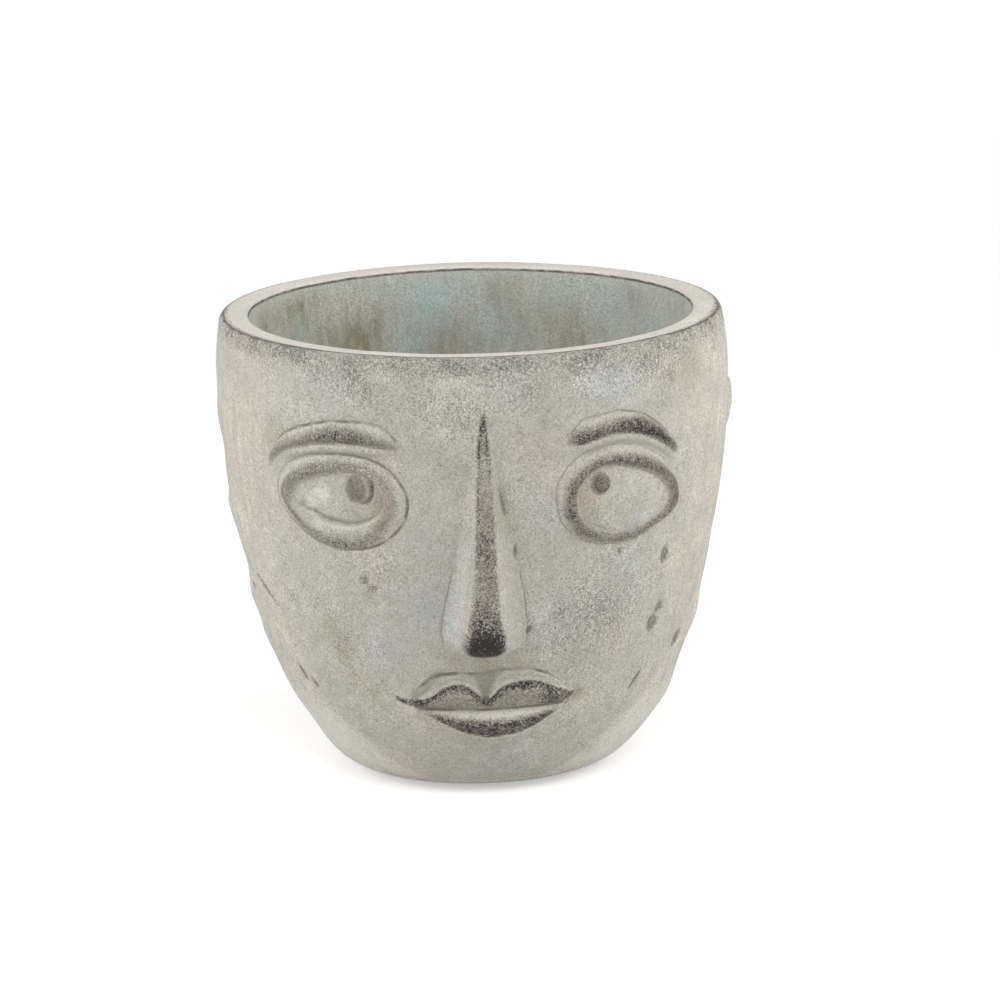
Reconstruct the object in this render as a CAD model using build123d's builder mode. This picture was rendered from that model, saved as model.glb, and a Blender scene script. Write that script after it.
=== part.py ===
from build123d import *
import os
from math import cos, degrees, radians, sin, sqrt

# A round cement planter with a face cast in relief on its wall, a rubber
# plug in its drain hole and four pads under its foot.
# Millimetres, +Z up. The origin is on the pot's axis, on the surface that
# the pads stand on. The face looks towards -Y.

# Shell, a body of revolution. Heights are measured from the shell's underside.
shell_height = 152.0
rim_band_height = 20.0
belly_radius = 84.5
rim_draw_in = 2.0
foot_radius = 39.6
foot_pull_share = 0.56
side_pull_share = 0.41
rim_wall = 9.5
rim_outer_rounding = 2.6
rim_inner_rounding = 1.8

# Cavity
floor_thickness = 12.0
cavity_straight = 32.0
cavity_floor_radius = 43.0
cavity_foot_pull_share = 0.16
cavity_side_pull_share = 0.58

# Drain hole and its plug
drain_radius = 6.5
drain_chamfer = 1.0
plug_clearance = 0.3
plug_head_radius = 12.0
plug_head_thickness = 2.6
plug_head_rounding = 1.0
plug_recess = 1.8
plug_stem_chamfer = 1.2

# Stick-on pads under the foot
pad_radius = 6.5
pad_thickness = 1.5
pad_chamfer = 0.3
pad_inset = 6.0
pad_start_angle = 45.0
pad_places = ("front_right", "back_right", "back_left", "front_left")

# Relief: how far a ridge's section is sunk below the wall. Angles are turns round
# the pot from the middle of the face, and height shares are of the shell's height.
ridge_sink = 1.0
half_turn = 180.0

# Brows
brow_angle = 34.6
brow_height_share = 0.786
brow_length = 47.0
brow_arch = 5.2
brow_width = 5.6
brow_rise = 2.0

# Eyes
eye_angle = 34.4
eye_height_share = 0.668
eye_length = 45.5
eye_tall_share = 0.174
left_eye_tilt = 4.0
right_eye_tilt = -8.0
lid_width = 5.4
lid_rise = 2.2
eyeball_width = 40.0
eyeball_rise = 1.3
eyeball_cap_angle = 60.0
pupil_angle = 27.8
pupil_height_share = 0.704
pupil_radius = 4.0
pupil_rise = 1.6

# Nose
nose_top_share = 0.882
nose_bottom_share = 0.332
nose_base_width = 28.6
nose_crest_width = 15.0
nose_rise = 8.8
nose_root = 3.0
nose_crown_share = 0.18
nose_hollow_share = 0.44

# Mouth
mouth_height_share = 0.21
mouth_width = 61.0
upper_lip_tall = 9.6
upper_lip_rise = 2.6
lower_lip_width = 50.0
lower_lip_tall = 11.6
lower_lip_rise = 3.2
lip_gap = 0.9

# Ears
ear_angle = 96.0
ear_height_share = 0.681
ear_tall_share = 0.243
ear_width = 21.0
ear_ridge_width = 7.0
ear_rise = 2.2
ear_start_angle = 10.0
ear_sweep_angle = 312.0

# Shapes of the ridges, station by station: place along, place up, width, rise.
# Along runs from the nose to the temple over the half length.
brow_shares = (
    (-1.00, 0.30, 0.50, -0.15),
    (-0.90, 0.45, 0.86, 0.80),
    (-0.45, 0.88, 1.00, 1.00),
    (0.00, 0.98, 1.00, 1.00),
    (0.40, 0.55, 0.92, 1.00),
    (0.75, -0.30, 0.72, 0.80),
    (1.00, -1.15, 0.44, -0.15),
)
# Lids: one ring, from the outer corner over the top to the nose and back below.
lid_shares = (
    (1.06, -0.08, 0.40, -0.10),
    (0.93, 0.13, 0.62, 0.62),
    (0.62, 0.58, 0.92, 1.00),
    (0.12, 0.94, 1.00, 1.00),
    (-0.42, 0.96, 1.00, 1.00),
    (-0.84, 0.60, 1.00, 1.00),
    (-1.00, 0.05, 1.00, 1.00),
    (-0.84, -0.50, 1.00, 1.00),
    (-0.44, -0.88, 0.94, 0.92),
    (0.10, -0.97, 0.90, 0.86),
    (0.60, -0.74, 0.84, 0.80),
    (0.92, -0.30, 0.58, 0.55),
    (1.06, 0.06, 0.40, -0.10),
)
# Lips run from the viewer's left corner to the right; up is above the mouth line.
upper_lip_shares = (
    (-1.00, 0.42, 0.08, -0.12),
    (-0.82, 0.22, 0.15, 0.42),
    (-0.62, 0.28, 0.27, 0.80),
    (-0.34, 0.50, 0.47, 1.00),
    (-0.16, 0.42, 0.38, 0.88),
    (0.00, 0.22, 0.20, 0.62),
    (0.16, 0.42, 0.38, 0.88),
    (0.38, 0.52, 0.49, 1.00),
    (0.66, 0.34, 0.33, 0.80),
    (0.85, 0.22, 0.15, 0.42),
    (1.00, 0.40, 0.08, -0.12),
)
lower_lip_shares = (
    (-1.00, -0.06, 0.05, -0.12),
    (-0.82, -0.15, 0.14, 0.42),
    (-0.45, -0.36, 0.34, 0.88),
    (0.00, -0.50, 0.48, 1.00),
    (0.45, -0.38, 0.36, 0.88),
    (0.82, -0.15, 0.14, 0.42),
    (1.00, -0.04, 0.05, -0.12),
)
# Nose sections: height, base width, crest width and rise.
nose_shares = (
    (1.00, 0.09, 0.06, -0.05),
    (0.94, 0.15, 0.13, 0.02),
    (0.86, 0.27, 0.25, 0.10),
    (0.72, 0.41, 0.33, 0.23),
    (0.54, 0.57, 0.38, 0.39),
    (0.34, 0.77, 0.50, 0.63),
    (0.19, 0.96, 0.72, 0.88),
    (0.09, 1.00, 1.00, 1.00),
    (0.03, 0.88, 0.90, 0.64),
    (0.00, 0.70, 0.66, -0.10),
)
# Ear: place round the loop, width and rise, from the front over the top to the lobe.
ear_shares = (
    (0.00, 0.44, -0.15),
    (0.11, 0.72, 0.80),
    (0.26, 0.92, 1.00),
    (0.40, 0.96, 1.00),
    (0.54, 0.86, 0.95),
    (0.69, 0.82, 0.95),
    (0.81, 1.12, 1.00),
    (0.93, 1.30, 1.05),
    (1.00, 0.90, -0.15),
)

# Sizes that follow
rim_radius = belly_radius - rim_draw_in
belly_height = shell_height - rim_band_height
mouth_radius = rim_radius - rim_wall
shoulder_height = shell_height - cavity_straight
flare_height = shell_height - rim_inner_rounding
base = pad_thickness
plug_stem_length = floor_thickness - plug_recess
pad_circle_radius = foot_radius - pad_radius - pad_inset
brow_height = brow_height_share * shell_height
eye_height = eye_height_share * shell_height
eye_tall = eye_tall_share * shell_height
pupil_height = pupil_height_share * shell_height
nose_top = nose_top_share * shell_height
nose_bottom = nose_bottom_share * shell_height
mouth_height = mouth_height_share * shell_height
ear_height = ear_height_share * shell_height
ear_tall = ear_tall_share * shell_height


def bezier(t, start, first, second, end):
    """One coordinate of a cubic Bezier curve and its rate of change."""
    s = 1 - t
    place = s**3 * start + 3 * s**2 * t * first + 3 * s * t**2 * second + t**3 * end
    steps = (first - start, second - first, end - second)
    rate = 3 * (s**2 * steps[0] + 2 * s * t * steps[1] + t**2 * steps[2])
    return place, rate


def curve_points(foot, floor, side, top, foot_share, side_share):
    """Four control points of a wall curve, level at its foot and upright at its top."""
    return (
        (foot, floor),
        (foot + foot_share * (side - foot), floor),
        (side, top - side_share * (top - floor)),
        (side, top),
    )


outer_points = curve_points(
    foot_radius, 0, belly_radius, belly_height, foot_pull_share, side_pull_share
)
halvings = 40


def wall(height):
    """Radius and lean of the plain outer wall at a height above its underside."""
    if height > belly_height:
        turn = (rim_band_height**2 + rim_draw_in**2) / (2 * rim_draw_in)
        above = height - belly_height
        depth = sqrt(turn**2 - above**2)
        return belly_radius - turn + depth, -above / depth
    radii, heights = zip(*outer_points)
    low, high = 0.0, 1.0
    for _ in range(halvings):
        middle = (low + high) / 2
        if bezier(middle, *heights)[0] < height:
            low = middle
        else:
            high = middle
    radius, widening = bezier(high, *radii)
    climbing = bezier(high, *heights)[1]
    return radius, widening / climbing


def wall_point(angle, height):
    """Point on the outer wall."""
    turn = radians(angle)
    radius, _ = wall(height)
    return Vector(radius * sin(turn), -radius * cos(turn), base + height)


def wall_normal(angle, height):
    """Outward direction square to the outer wall."""
    turn = radians(angle)
    _, lean = wall(height)
    return Vector(sin(turn), -cos(turn), -lean).normalized()


def wall_plane(angle, height, out):
    """Plane that faces outward, set out from the wall by a length."""
    normal = wall_normal(angle, height)
    return Plane(origin=wall_point(angle, height) + normal * out, z_dir=normal)


def spot(side, centre_angle, centre_height, along, up):
    """Angle and height of a place given by lengths along the wall from a centre."""
    height = centre_height + up
    radius, _ = wall(height)
    return side * (centre_angle + degrees(along / radius)), height


def ridge(stations):
    """Section planes along the wall, each with its rise and half width."""
    points = [wall_point(angle, height) for (angle, height), _, _ in stations]
    sections = []
    for index, ((angle, height), half_width, rise) in enumerate(stations):
        before = points[max(index - 1, 0)]
        after = points[min(index + 1, len(points) - 1)]
        normal = wall_normal(angle, height)
        centre = points[index] - normal * ridge_sink
        plane = Plane(origin=centre, x_dir=normal, z_dir=after - before)
        sections.append((plane, rise + ridge_sink, half_width))
    return sections


def brow(side):
    """Arched brow, thick at the nose and thin at the temple."""
    stations = []
    for along, up, width, rise in brow_shares:
        place = spot(
            side, brow_angle, brow_height, along * brow_length / 2, up * brow_arch
        )
        stations.append((place, width * brow_width / 2, rise * brow_rise))
    return ridge(stations)


def lids(side, tilt):
    """Ring of lids round an eye, turned by the eye's tilt."""
    stations = []
    for along, up, width, rise in lid_shares:
        x, y = along * eye_length / 2, up * eye_tall / 2
        turn = radians(tilt)
        place = spot(
            side,
            eye_angle,
            eye_height,
            x * cos(turn) - y * sin(turn),
            x * sin(turn) + y * cos(turn),
        )
        stations.append((place, width * lid_width / 2, rise * lid_rise))
    return ridge(stations)


def lip(shares, lip_width, line_height, tall, lip_rise):
    """Lip across the mouth, its section as tall as its outline."""
    stations = []
    for along, up, half_tall, rise in shares:
        place = spot(1, 0, line_height, along * lip_width / 2, up * tall)
        stations.append((place, half_tall * tall, rise * lip_rise))
    return ridge(stations)


def ear(side):
    """Ear as an open loop that ends in a thick lobe."""
    stations = []
    for along, width, rise in ear_shares:
        turn = radians(ear_start_angle + along * ear_sweep_angle)
        across = -cos(turn) * ear_width / 2
        up = sin(turn) * ear_tall / 2
        place = spot(side, ear_angle, ear_height, across, up)
        stations.append((place, width * ear_ridge_width / 2, rise * ear_rise))
    return ridge(stations)


ridges = [brow(side) for side in (-1, 1)]
ridges += [ear(side) for side in (-1, 1)]
for side, tilt in ((-1, left_eye_tilt), (1, right_eye_tilt)):
    ring = lids(side, tilt)
    half = len(ring) // 2
    ridges += [ring[: half + 1], ring[half:]]
ridges.append(
    lip(
        upper_lip_shares,
        mouth_width,
        mouth_height + lip_gap / 2,
        upper_lip_tall,
        upper_lip_rise,
    )
)
ridges.append(
    lip(
        lower_lip_shares,
        lower_lip_width,
        mouth_height - lip_gap / 2,
        lower_lip_tall,
        lower_lip_rise,
    )
)


# Shell: the plain body first, then the face, then the cavity and the drain
with BuildPart() as pot_shell:
    with BuildSketch(Plane.YZ) as outer_half:
        with BuildLine(Location((0, base))):
            Line((0, shell_height), (0, 0))
            Line((0, 0), (foot_radius, 0))
            Bezier(*outer_points)
            TangentArc(
                (belly_radius, belly_height), (rim_radius, shell_height), tangent=(0, 1)
            )
            Line((rim_radius, shell_height), (0, shell_height))
        make_face()
        rim_corner = outer_half.vertices().group_by(Axis.Y)[-1].sort_by(Axis.X)[-1]
        fillet(rim_corner, radius=rim_outer_rounding)
    revolve(axis=Axis.Z)

    # Drain hole, eased where it leaves the foot
    Hole(radius=drain_radius)
    foot_circles = pot_shell.edges().filter_by(GeomType.CIRCLE).group_by(Axis.Z)[0]
    chamfer(foot_circles.sort_by(SortBy.RADIUS)[0], length=drain_chamfer)

    # Brows, lids, lips and ears are rounded ridges along the wall
    for sections in ridges:
        for plane, rise, half_width in sections:
            with BuildSketch(plane):
                with BuildLine():
                    dome = EllipticalCenterArc(
                        (0, 0),
                        rise,
                        half_width,
                        start_angle=-half_turn / 2,
                        arc_size=half_turn,
                    )
                    Line(dome @ 1, dome @ 0)
                make_face()
        loft()

    # Eyeballs are shallow caps of large spheres, pupils small balls half sunk
    eyeball_bend = 2 * eyeball_rise / (eyeball_width / 2) ** 2
    eyeball_radius = 1 / (1 / wall(eye_height)[0] + eyeball_bend)
    for side in (-1, 1):
        sunk = eyeball_rise - eyeball_radius
        with Locations(wall_plane(side * eye_angle, eye_height, sunk)):
            Sphere(eyeball_radius, arc_size1=eyeball_cap_angle)
        ball = (pupil_radius**2 + pupil_rise**2) / (2 * pupil_rise)
        sunk = eyeball_rise + pupil_rise - ball
        with Locations(wall_plane(side * pupil_angle, pupil_height, sunk)):
            Sphere(ball)

    # Nose: level sections, hollow at the flanks and crowned at the crest
    for up, base_share, crest_share, rise_share in nose_shares:
        height = nose_bottom + up * (nose_top - nose_bottom)
        radius, _ = wall(height)
        half_base = base_share * nose_base_width / 2
        half_crest = crest_share * nose_crest_width / 2
        foot = sqrt(radius**2 - half_base**2) - ridge_sink
        crest = radius + rise_share * nose_rise
        crown = crest + nose_crown_share * half_crest
        flank = half_crest + (half_base - half_crest) / 2
        hollow = foot + nose_hollow_share * (crest - foot)
        with BuildSketch(Plane.XY.offset(base + height)):
            with BuildLine():
                Polyline(
                    (-half_base, -foot),
                    (-half_base, nose_root - foot),
                    (half_base, nose_root - foot),
                    (half_base, -foot),
                )
                ThreePointArc((half_base, -foot), (flank, -hollow), (half_crest, -crest))
                ThreePointArc((half_crest, -crest), (0, -crown), (-half_crest, -crest))
                ThreePointArc((-half_crest, -crest), (-flank, -hollow), (-half_base, -foot))
            make_face()
    loft()

    # Cavity
    with BuildSketch(Plane.YZ) as cavity_half:
        with BuildLine(Location((0, base))):
            Line((0, shell_height), (0, floor_thickness))
            Line((0, floor_thickness), (cavity_floor_radius, floor_thickness))
            Bezier(
                *curve_points(
                    cavity_floor_radius,
                    floor_thickness,
                    mouth_radius,
                    shoulder_height,
                    cavity_foot_pull_share,
                    cavity_side_pull_share,
                )
            )
            Line((mouth_radius, shoulder_height), (mouth_radius, flare_height))
            TangentArc(
                (mouth_radius, flare_height),
                (mouth_radius + rim_inner_rounding, shell_height),
                tangent=(0, 1),
            )
            Line((mouth_radius + rim_inner_rounding, shell_height), (0, shell_height))
        make_face()
    revolve(axis=Axis.Z, mode=Mode.SUBTRACT)
pot_shell.part.label = "pot_shell"


# Plug: a mushroom of soft rubber, its head resting on the floor
with BuildPart() as drain_plug:
    with BuildSketch(Plane.XY.offset(base + floor_thickness)):
        Circle(plug_head_radius)
    extrude(amount=plug_head_thickness)
    head_edge = drain_plug.edges().group_by(Axis.Z)[-1]
    fillet(head_edge, radius=plug_head_rounding)
    with BuildSketch(Plane.XY.offset(base + floor_thickness)):
        Circle(drain_radius - plug_clearance)
    extrude(amount=-plug_stem_length)
    stem_edge = drain_plug.edges().group_by(Axis.Z)[0]
    chamfer(stem_edge, length=plug_stem_chamfer)
drain_plug.part.label = "drain_plug"


# Pads, evenly spaced round the foot
pads = []
for index, place in enumerate(pad_places):
    turn = radians(index * 360 / len(pad_places) + pad_start_angle)
    centre = Vector(sin(turn), -cos(turn), 0) * pad_circle_radius
    with BuildPart() as foot_pad:
        with BuildSketch(Plane(origin=centre)):
            Circle(pad_radius)
        extrude(amount=pad_thickness)
        chamfer(foot_pad.edges().group_by(Axis.Z)[0], length=pad_chamfer)
    foot_pad.part.label = "foot_pad_" + place
    pads.append(foot_pad.part)

os.makedirs("parts", exist_ok=True)
export_step(pot_shell.part, "parts/pot_shell.step")
export_step(drain_plug.part, "parts/drain_plug.step")
for pad in pads:
    export_step(pad, "parts/" + pad.label + ".step")
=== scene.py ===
import math

import bmesh
import bpy
import numpy as np
from bpy.props import FloatProperty, FloatVectorProperty, PointerProperty
from mathutils import Matrix, Vector


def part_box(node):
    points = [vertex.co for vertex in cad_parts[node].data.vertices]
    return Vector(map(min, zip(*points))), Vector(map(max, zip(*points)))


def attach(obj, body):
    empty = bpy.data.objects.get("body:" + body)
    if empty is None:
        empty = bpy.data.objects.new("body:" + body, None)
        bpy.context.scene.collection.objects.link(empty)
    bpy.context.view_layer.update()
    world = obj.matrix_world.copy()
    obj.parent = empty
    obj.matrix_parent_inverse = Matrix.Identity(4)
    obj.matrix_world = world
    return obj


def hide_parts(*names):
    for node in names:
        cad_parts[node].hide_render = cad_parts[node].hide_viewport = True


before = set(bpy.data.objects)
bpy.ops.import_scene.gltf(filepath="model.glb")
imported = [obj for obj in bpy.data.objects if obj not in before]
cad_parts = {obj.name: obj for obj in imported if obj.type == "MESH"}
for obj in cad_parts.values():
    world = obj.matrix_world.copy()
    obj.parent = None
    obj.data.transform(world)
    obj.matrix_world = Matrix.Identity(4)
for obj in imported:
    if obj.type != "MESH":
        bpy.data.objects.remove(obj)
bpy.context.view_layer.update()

# Cement head planter: the cast pot with its face, the drain plug, the foot pads,
# and the stage they stand on. Metres, +Z up; the face looks towards -Y.

bl_info = {
    "name": "Head planter",
    "version": (1, 0, 0),
    "blender": (4, 5, 0),
    "location": "View3D > Sidebar > Planter",
    "description": "Builds a cement planter with a face in relief",
    "category": "Object",
}

SHELL_LOW, SHELL_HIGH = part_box("pot_shell")
PLUG_LOW, PLUG_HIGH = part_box("drain_plug")
MM = 0.001

# Mesh: columns round each piece, rows along each stretch of its section, and the
# zones of the outer wall where they are closer together. A zone says where its
# extra density starts, is full, fades and ends, and how dense it is: in degrees
# round the pot from the middle of the face for columns, and in millimetres up
# the wall for rows.
SHELL_COLUMNS, PLUG_COLUMNS, PAD_COLUMNS = 430, 96, 72
WALL_ROWS, FLAT_ROWS, CAVITY_ROWS, DRAIN_ROWS = 172, 7, 16, 3
OUTER_EDGE_ROWS, RIM_ROWS, INNER_EDGE_ROWS = 8, 6, 7
RIB_ROWS, HEAD_ROWS, DIMPLE_ROWS = 41, 12, 40
COLUMN_BASE, ROW_BASE = 0.12, 1
COLUMN_ZONES = (
    (-130, -100, 100, 130, 0.1),
    (-62, -56, 56, 62, 0.95),
    (-116, -111, -82, -78, 0.45),
    (78, 82, 111, 116, 0.45),
    (-82, -78, -58, -54, 0.5),
)
ROW_ZONES = (
    (15, 20, 46, 52, 0.9),
    (47, 50, 58, 64, 1.5),
    (82, 88, 128, 134, 0.75),
)

# Small relief of the casting
LINE_DEPTH, LINE_HALF_WIDTH = 0.3 * MM, 0.45 * MM
DENT_DEPTH = 0.5 * MM
PUPIL_MOAT_DEPTH = 0.35 * MM
MOUTH_LINE_DEPTH = 0.8 * MM
LEDGE_RISE = 0.7 * MM
PHILTRUM_DEPTH = 1.1 * MM
EAR_BOWL_DEPTH = 0.4 * MM
# The cast rim isn't level: how far it hangs at the front, on the right and here and there
FRONT_SAG, RIGHT_SAG, UNEVEN_SAG = 1.9 * MM, 0.9 * MM, 0.25 * MM
# Where the lighter top of the rim starts and ends, along the section from the top of the
# wall, and how much farther in it starts at the front
RIM_TOP_FROM, RIM_TOP_TO, RIM_TOP_SHIFT = 2.9 * MM, 11.9 * MM, 1.1 * MM
# Heights over which the band of shade below the rim sets in
SHADE_FROM, SHADE_FULL = 143.5 * MM, 149.5 * MM
# Distance from a line at which nothing of it is left
NO_LINE = 10 * MM
# The loop of an ear starts above its front and runs this many degrees round the back
EAR_START, EAR_SWEEP = 10, 312
# Washes and painted light and shadow, each stored as one number per vertex
MASKS = ("rub", "smear", "dent", "pale", "blue", "brown", "shade", "warm")

# Plug: play of its stem, neck and rise of its ribs and how far they stop short
# of both ends, lip and gap under its head, dimple and the fine ring round it.
# Its tip, from the middle out: share of the stem's radius, then millimetres in
# from there and millimetres up.
STEM_PLAY, STEM_NECK, RIB_RISE = 0.3 * MM, 0.25 * MM, 0.22 * MM
RIBS_FROM, RIBS_SHORT = 1.4 * MM, 0.2 * MM
STEM_TIP = ((0, 0, 0.3), (0.5, 0, 0.25), (1, 1.3, 0), (1, 0.9, 0.15))
HEAD_LIP, HEAD_GAP, HEAD_ROUNDING_SHARE = 1 * MM, 0.02 * MM, 0.42
DIMPLE_DEPTH, RING_DEPTH = 0.5 * MM, 0.15 * MM
# Pads: how far their side bulges, how much smaller their underside is, and the
# flat share of their top
PAD_BULGE, PAD_BEVEL, PAD_TOP_SHARE = 0.25 * MM, 0.45 * MM, 0.96

# Stage: softboxes with their place, width, height and the setting of their
# power, the point that they face, the floor's half side, its colour and where
# its far glow starts and is full, and the sensor's width in millimetres
SOFTBOXES = (
    ("left softbox", (-0.75, -0.25, 0.35), 0.5, 0.7, "side_light"),
    ("right softbox", (0.75, -0.25, 0.35), 0.5, 0.7, "side_light"),
    ("front softbox", (0.1, -0.7, 0.85), 0.8, 0.5, "front_light"),
)
LIGHT_AIM = (0, 0, 0.08)
FLOOR_REACH = 8
FLOOR_WHITE, WHITE = (0.86, 0.86, 0.86, 1), (1, 1, 1, 1)
GLOW_FROM, GLOW_FULL = 0.2, 1.8
SENSOR_WIDTH = 36

# Ring of the lids, read every 30 degrees round the eye from the nose over the
# lower lid to the temple and back over the top: edge of the opening, outer
# outline, place of the dark rub between the two, and strength of the rub.
LEFT_EYE_SHARES = (
    (0.74, 1.12, 0.35, 0.34),
    (0.6, 1.09, 0.45, 0.28),
    (0.49, 1.13, 0.8, 0.5),
    (0.39, 1.12, 0.84, 0.64),
    (0.39, 1.02, 0.8, 0.56),
    (0.41, 0.99, 0.74, 0.6),
    (0.71, 1.07, 0.5, 0.56),
    (0.72, 1.15, 0.38, 0.52),
    (0.68, 1.22, 0.36, 0.54),
    (0.77, 1.27, 0.34, 0.54),
    (0.95, 1.35, 0.32, 0.38),
    (0.84, 1.22, 0.35, 0.32),
)
RIGHT_EYE_SHARES = (
    (0.81, 1.14, 0.42, 0.68),
    (0.84, 1.16, 0.44, 0.64),
    (0.91, 1.21, 0.44, 0.56),
    (0.91, 1.18, 0.42, 0.6),
    (0.88, 1.09, 0.42, 0.58),
    (0.91, 1.17, 0.4, 0.62),
    (0.72, 1.05, 0.44, 0.68),
    (0.61, 0.94, 0.42, 0.64),
    (0.59, 1.03, 0.35, 0.68),
    (0.68, 1.26, 0.31, 0.74),
    (0.92, 1.43, 0.27, 0.66),
    (0.87, 1.28, 0.36, 0.62),
)
EYE_STEP = 30
# Pupils: place across and up from the eye's middle, radius, shift of the dark
# disc, in millimetres, and strength of the rub.
LEFT_PUPIL = (-9.9, 6.1, 4.4, 1, 0.6)
RIGHT_PUPIL = (-11, 5.5, 3.5, -0.2, 0.66)

# Brow, from the nose to the temple: place along in half lengths, lower edge, top
# of the dark rub, top edge, strength of the rub. Heights are in brow tallnesses.
LEFT_BROW_SHARES = (
    (-1, 0.16, 0.36, 0.46, 0.36),
    (-0.85, 0.15, 0.46, 0.8, 0.56),
    (-0.6, 0.19, 0.62, 0.95, 0.68),
    (-0.3, 0.21, 0.74, 0.97, 0.78),
    (0, 0.18, 0.67, 0.92, 0.78),
    (0.3, 0.09, 0.51, 0.77, 0.68),
    (0.6, -0.09, 0.26, 0.56, 0.54),
    (0.85, -0.27, 0.01, 0.26, 0.4),
    (1.02, -0.52, -0.24, -0.1, 0.3),
    (1.16, -0.9, -0.6, -0.5, 0.22),
)
RIGHT_BROW_SHARES = (
    (-0.94, 0.14, 0.44, 0.48, 0.84),
    (-0.8, 0.06, 0.5, 0.83, 0.92),
    (-0.56, 0.16, 0.6, 0.95, 0.88),
    (-0.28, 0.27, 0.72, 1.02, 0.86),
    (0, 0.21, 0.72, 0.94, 0.98),
    (0.28, 0.03, 0.56, 0.7, 0.98),
    (0.54, -0.26, 0.18, 0.28, 0.88),
    (0.76, -0.58, -0.22, -0.14, 0.78),
    (0.9, -0.8, -0.48, -0.44, 0.62),
)

# Nose, from its underside to its root: place up, centre in crest widths, shares
# of the base, of the crest and of the rise, strength of the rub.
NOSE_SHARES = (
    (0, -0.05, 0.62, 0.6, 0, 0.84),
    (0.03, -0.05, 0.84, 0.78, 0.66, 0.92),
    (0.09, -0.04, 0.95, 0.8, 1, 0.92),
    (0.19, -0.02, 0.92, 0.6, 0.9, 0.68),
    (0.3, 0.01, 0.82, 0.49, 0.68, 0.52),
    (0.42, 0.02, 0.7, 0.43, 0.53, 0.58),
    (0.54, 0.02, 0.6, 0.39, 0.4, 0.58),
    (0.66, 0.03, 0.48, 0.34, 0.29, 0.36),
    (0.77, 0.03, 0.37, 0.29, 0.19, 0.32),
    (0.86, 0.02, 0.27, 0.24, 0.12, 0.52),
    (0.94, 0.03, 0.16, 0.13, 0.05, 0.52),
    (0.99, 0.04, 0.09, 0.04, 0, 0.5),
)

# Lips, from the viewer's left to the right: place across in mouth half widths,
# then top and bottom edge above the mouth line in lip heights, then for the
# upper lip the strength of the rub. The contour is the top of the ledge over it.
UPPER_LIP_SHARES = (
    (-1.08, 0.48, 0.42, 0.8),
    (-0.93, 0.36, 0.16, 1),
    (-0.77, 0.36, 0.02, 1),
    (-0.61, 0.5, 0, 1),
    (-0.49, 0.8, 0, 0.8),
    (-0.34, 0.97, 0, 0.65),
    (-0.21, 0.88, 0, 0.55),
    (-0.1, 0.58, 0, 0.75),
    (-0.02, 0.4, 0, 1),
    (0.05, 0.48, 0, 1),
    (0.14, 0.8, 0, 0.85),
    (0.27, 0.98, 0.02, 0.95),
    (0.42, 1.04, 0.02, 1),
    (0.56, 0.99, 0.04, 0.85),
    (0.67, 0.84, 0.05, 0.9),
    (0.83, 0.6, 0.07, 0.95),
    (0.93, 0.46, 0.2, 0.85),
    (1.02, 0.44, 0.42, 0.5),
)
LOWER_LIP_SHARES = (
    (-0.78, -0.02, -0.06),
    (-0.52, -0.03, -0.5),
    (-0.31, -0.04, -0.86),
    (-0.14, -0.04, -1.02),
    (0, -0.04, -1.12),
    (0.19, -0.04, -1.08),
    (0.36, -0.03, -0.98),
    (0.51, -0.03, -0.78),
    (0.69, -0.02, -0.44),
    (0.89, -0.01, -0.05),
)
LIP_CONTOUR_SHARES = (
    (-0.8, 0.78),
    (-0.72, 0.94),
    (-0.59, 1.27),
    (-0.42, 1.41),
    (-0.1, 1.41),
    (0.15, 1.52),
    (0.34, 1.53),
    (0.51, 1.47),
    (0.69, 1.24),
    (0.84, 0.9),
)

# Dents and scratches: turn from the middle of the face in degrees, height,
# half width, half height in millimetres, lean in degrees, depth share.
DENTS = (
    (48.1, 78, 2.1, 3.4, 4, 1.1),
    (49.2, 59.6, 2.3, 2.8, 12, 0.75),
    (47.6, 54.6, 3.2, 3.2, 12, 0.9),
    (64, 44.5, 2.9, 3.6, 18, 1),
    (46.3, 35.3, 0.8, 3.9, 34, 1.3),
    (33, 83.3, 0.9, 1.1, 0, 1),
    (6.9, 87, 0.8, 3.4, -4, 0.8),
    (10.4, 60, 0.9, 1.9, 24, 1),
    (4, 104, 0.8, 6, -10, 0.9),
    (-28.9, 76.8, 1.9, 1.9, -20, 0.8),
    (-27, 74, 2.4, 1.8, -25, 0.8),
    (-43, 101, 3, 1.4, -30, 0.4),
    (-66.4, 65.5, 1.2, 9, -58, 0.9),
    (-58.9, 38.4, 1, 3.1, -30, 1.1),
    (-54.3, 35.6, 1.5, 2.4, -30, 0.8),
    (-78, 63.4, 2.2, 1.3, 0, 1.3),
    (-62.7, 99.5, 0.9, 3, -16, 0.45),
    (-65.5, 94.5, 0.9, 3.4, 24, 0.45),
    (-61, 93.5, 0.9, 2.2, -40, 0.45),
    (-44, 67.5, 1.8, 2, 0, 0.4),
    (118, 70, 2, 3.4, 10, 0.9),
    (152, 46, 2.4, 3.6, -14, 0.9),
    (-138, 82, 1.8, 3, 8, 0.8),
    (-165, 38, 1.4, 4.2, 30, 1),
    (-112, 50, 2.6, 3, 12, 0.8),
)

# Broad swells and hollows of the hand-made wall: turn in degrees, height, half
# width, half height and rise in millimetres.
SWELLS = (
    (-90, 109, 16, 6, -0.5),
    (-90, 86, 16, 5, 0.9),
    (-86, 57, 16, 5, 0.9),
    (-84, 45, 16, 6, 0.7),
    (-88, 69, 16, 5, -0.6),
    (-74, 14, 26, 9, -1.5),
    (84, 47, 16, 6, 1.1),
    (78, 22, 16, 6, 1),
    (88, 76, 16, 6, -0.4),
    (60, 8, 20, 6, -0.8),
    (132, 60, 22, 14, -0.6),
    (-150, 92, 20, 16, -0.6),
    (178, 40, 24, 12, 0.5),
)
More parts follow.
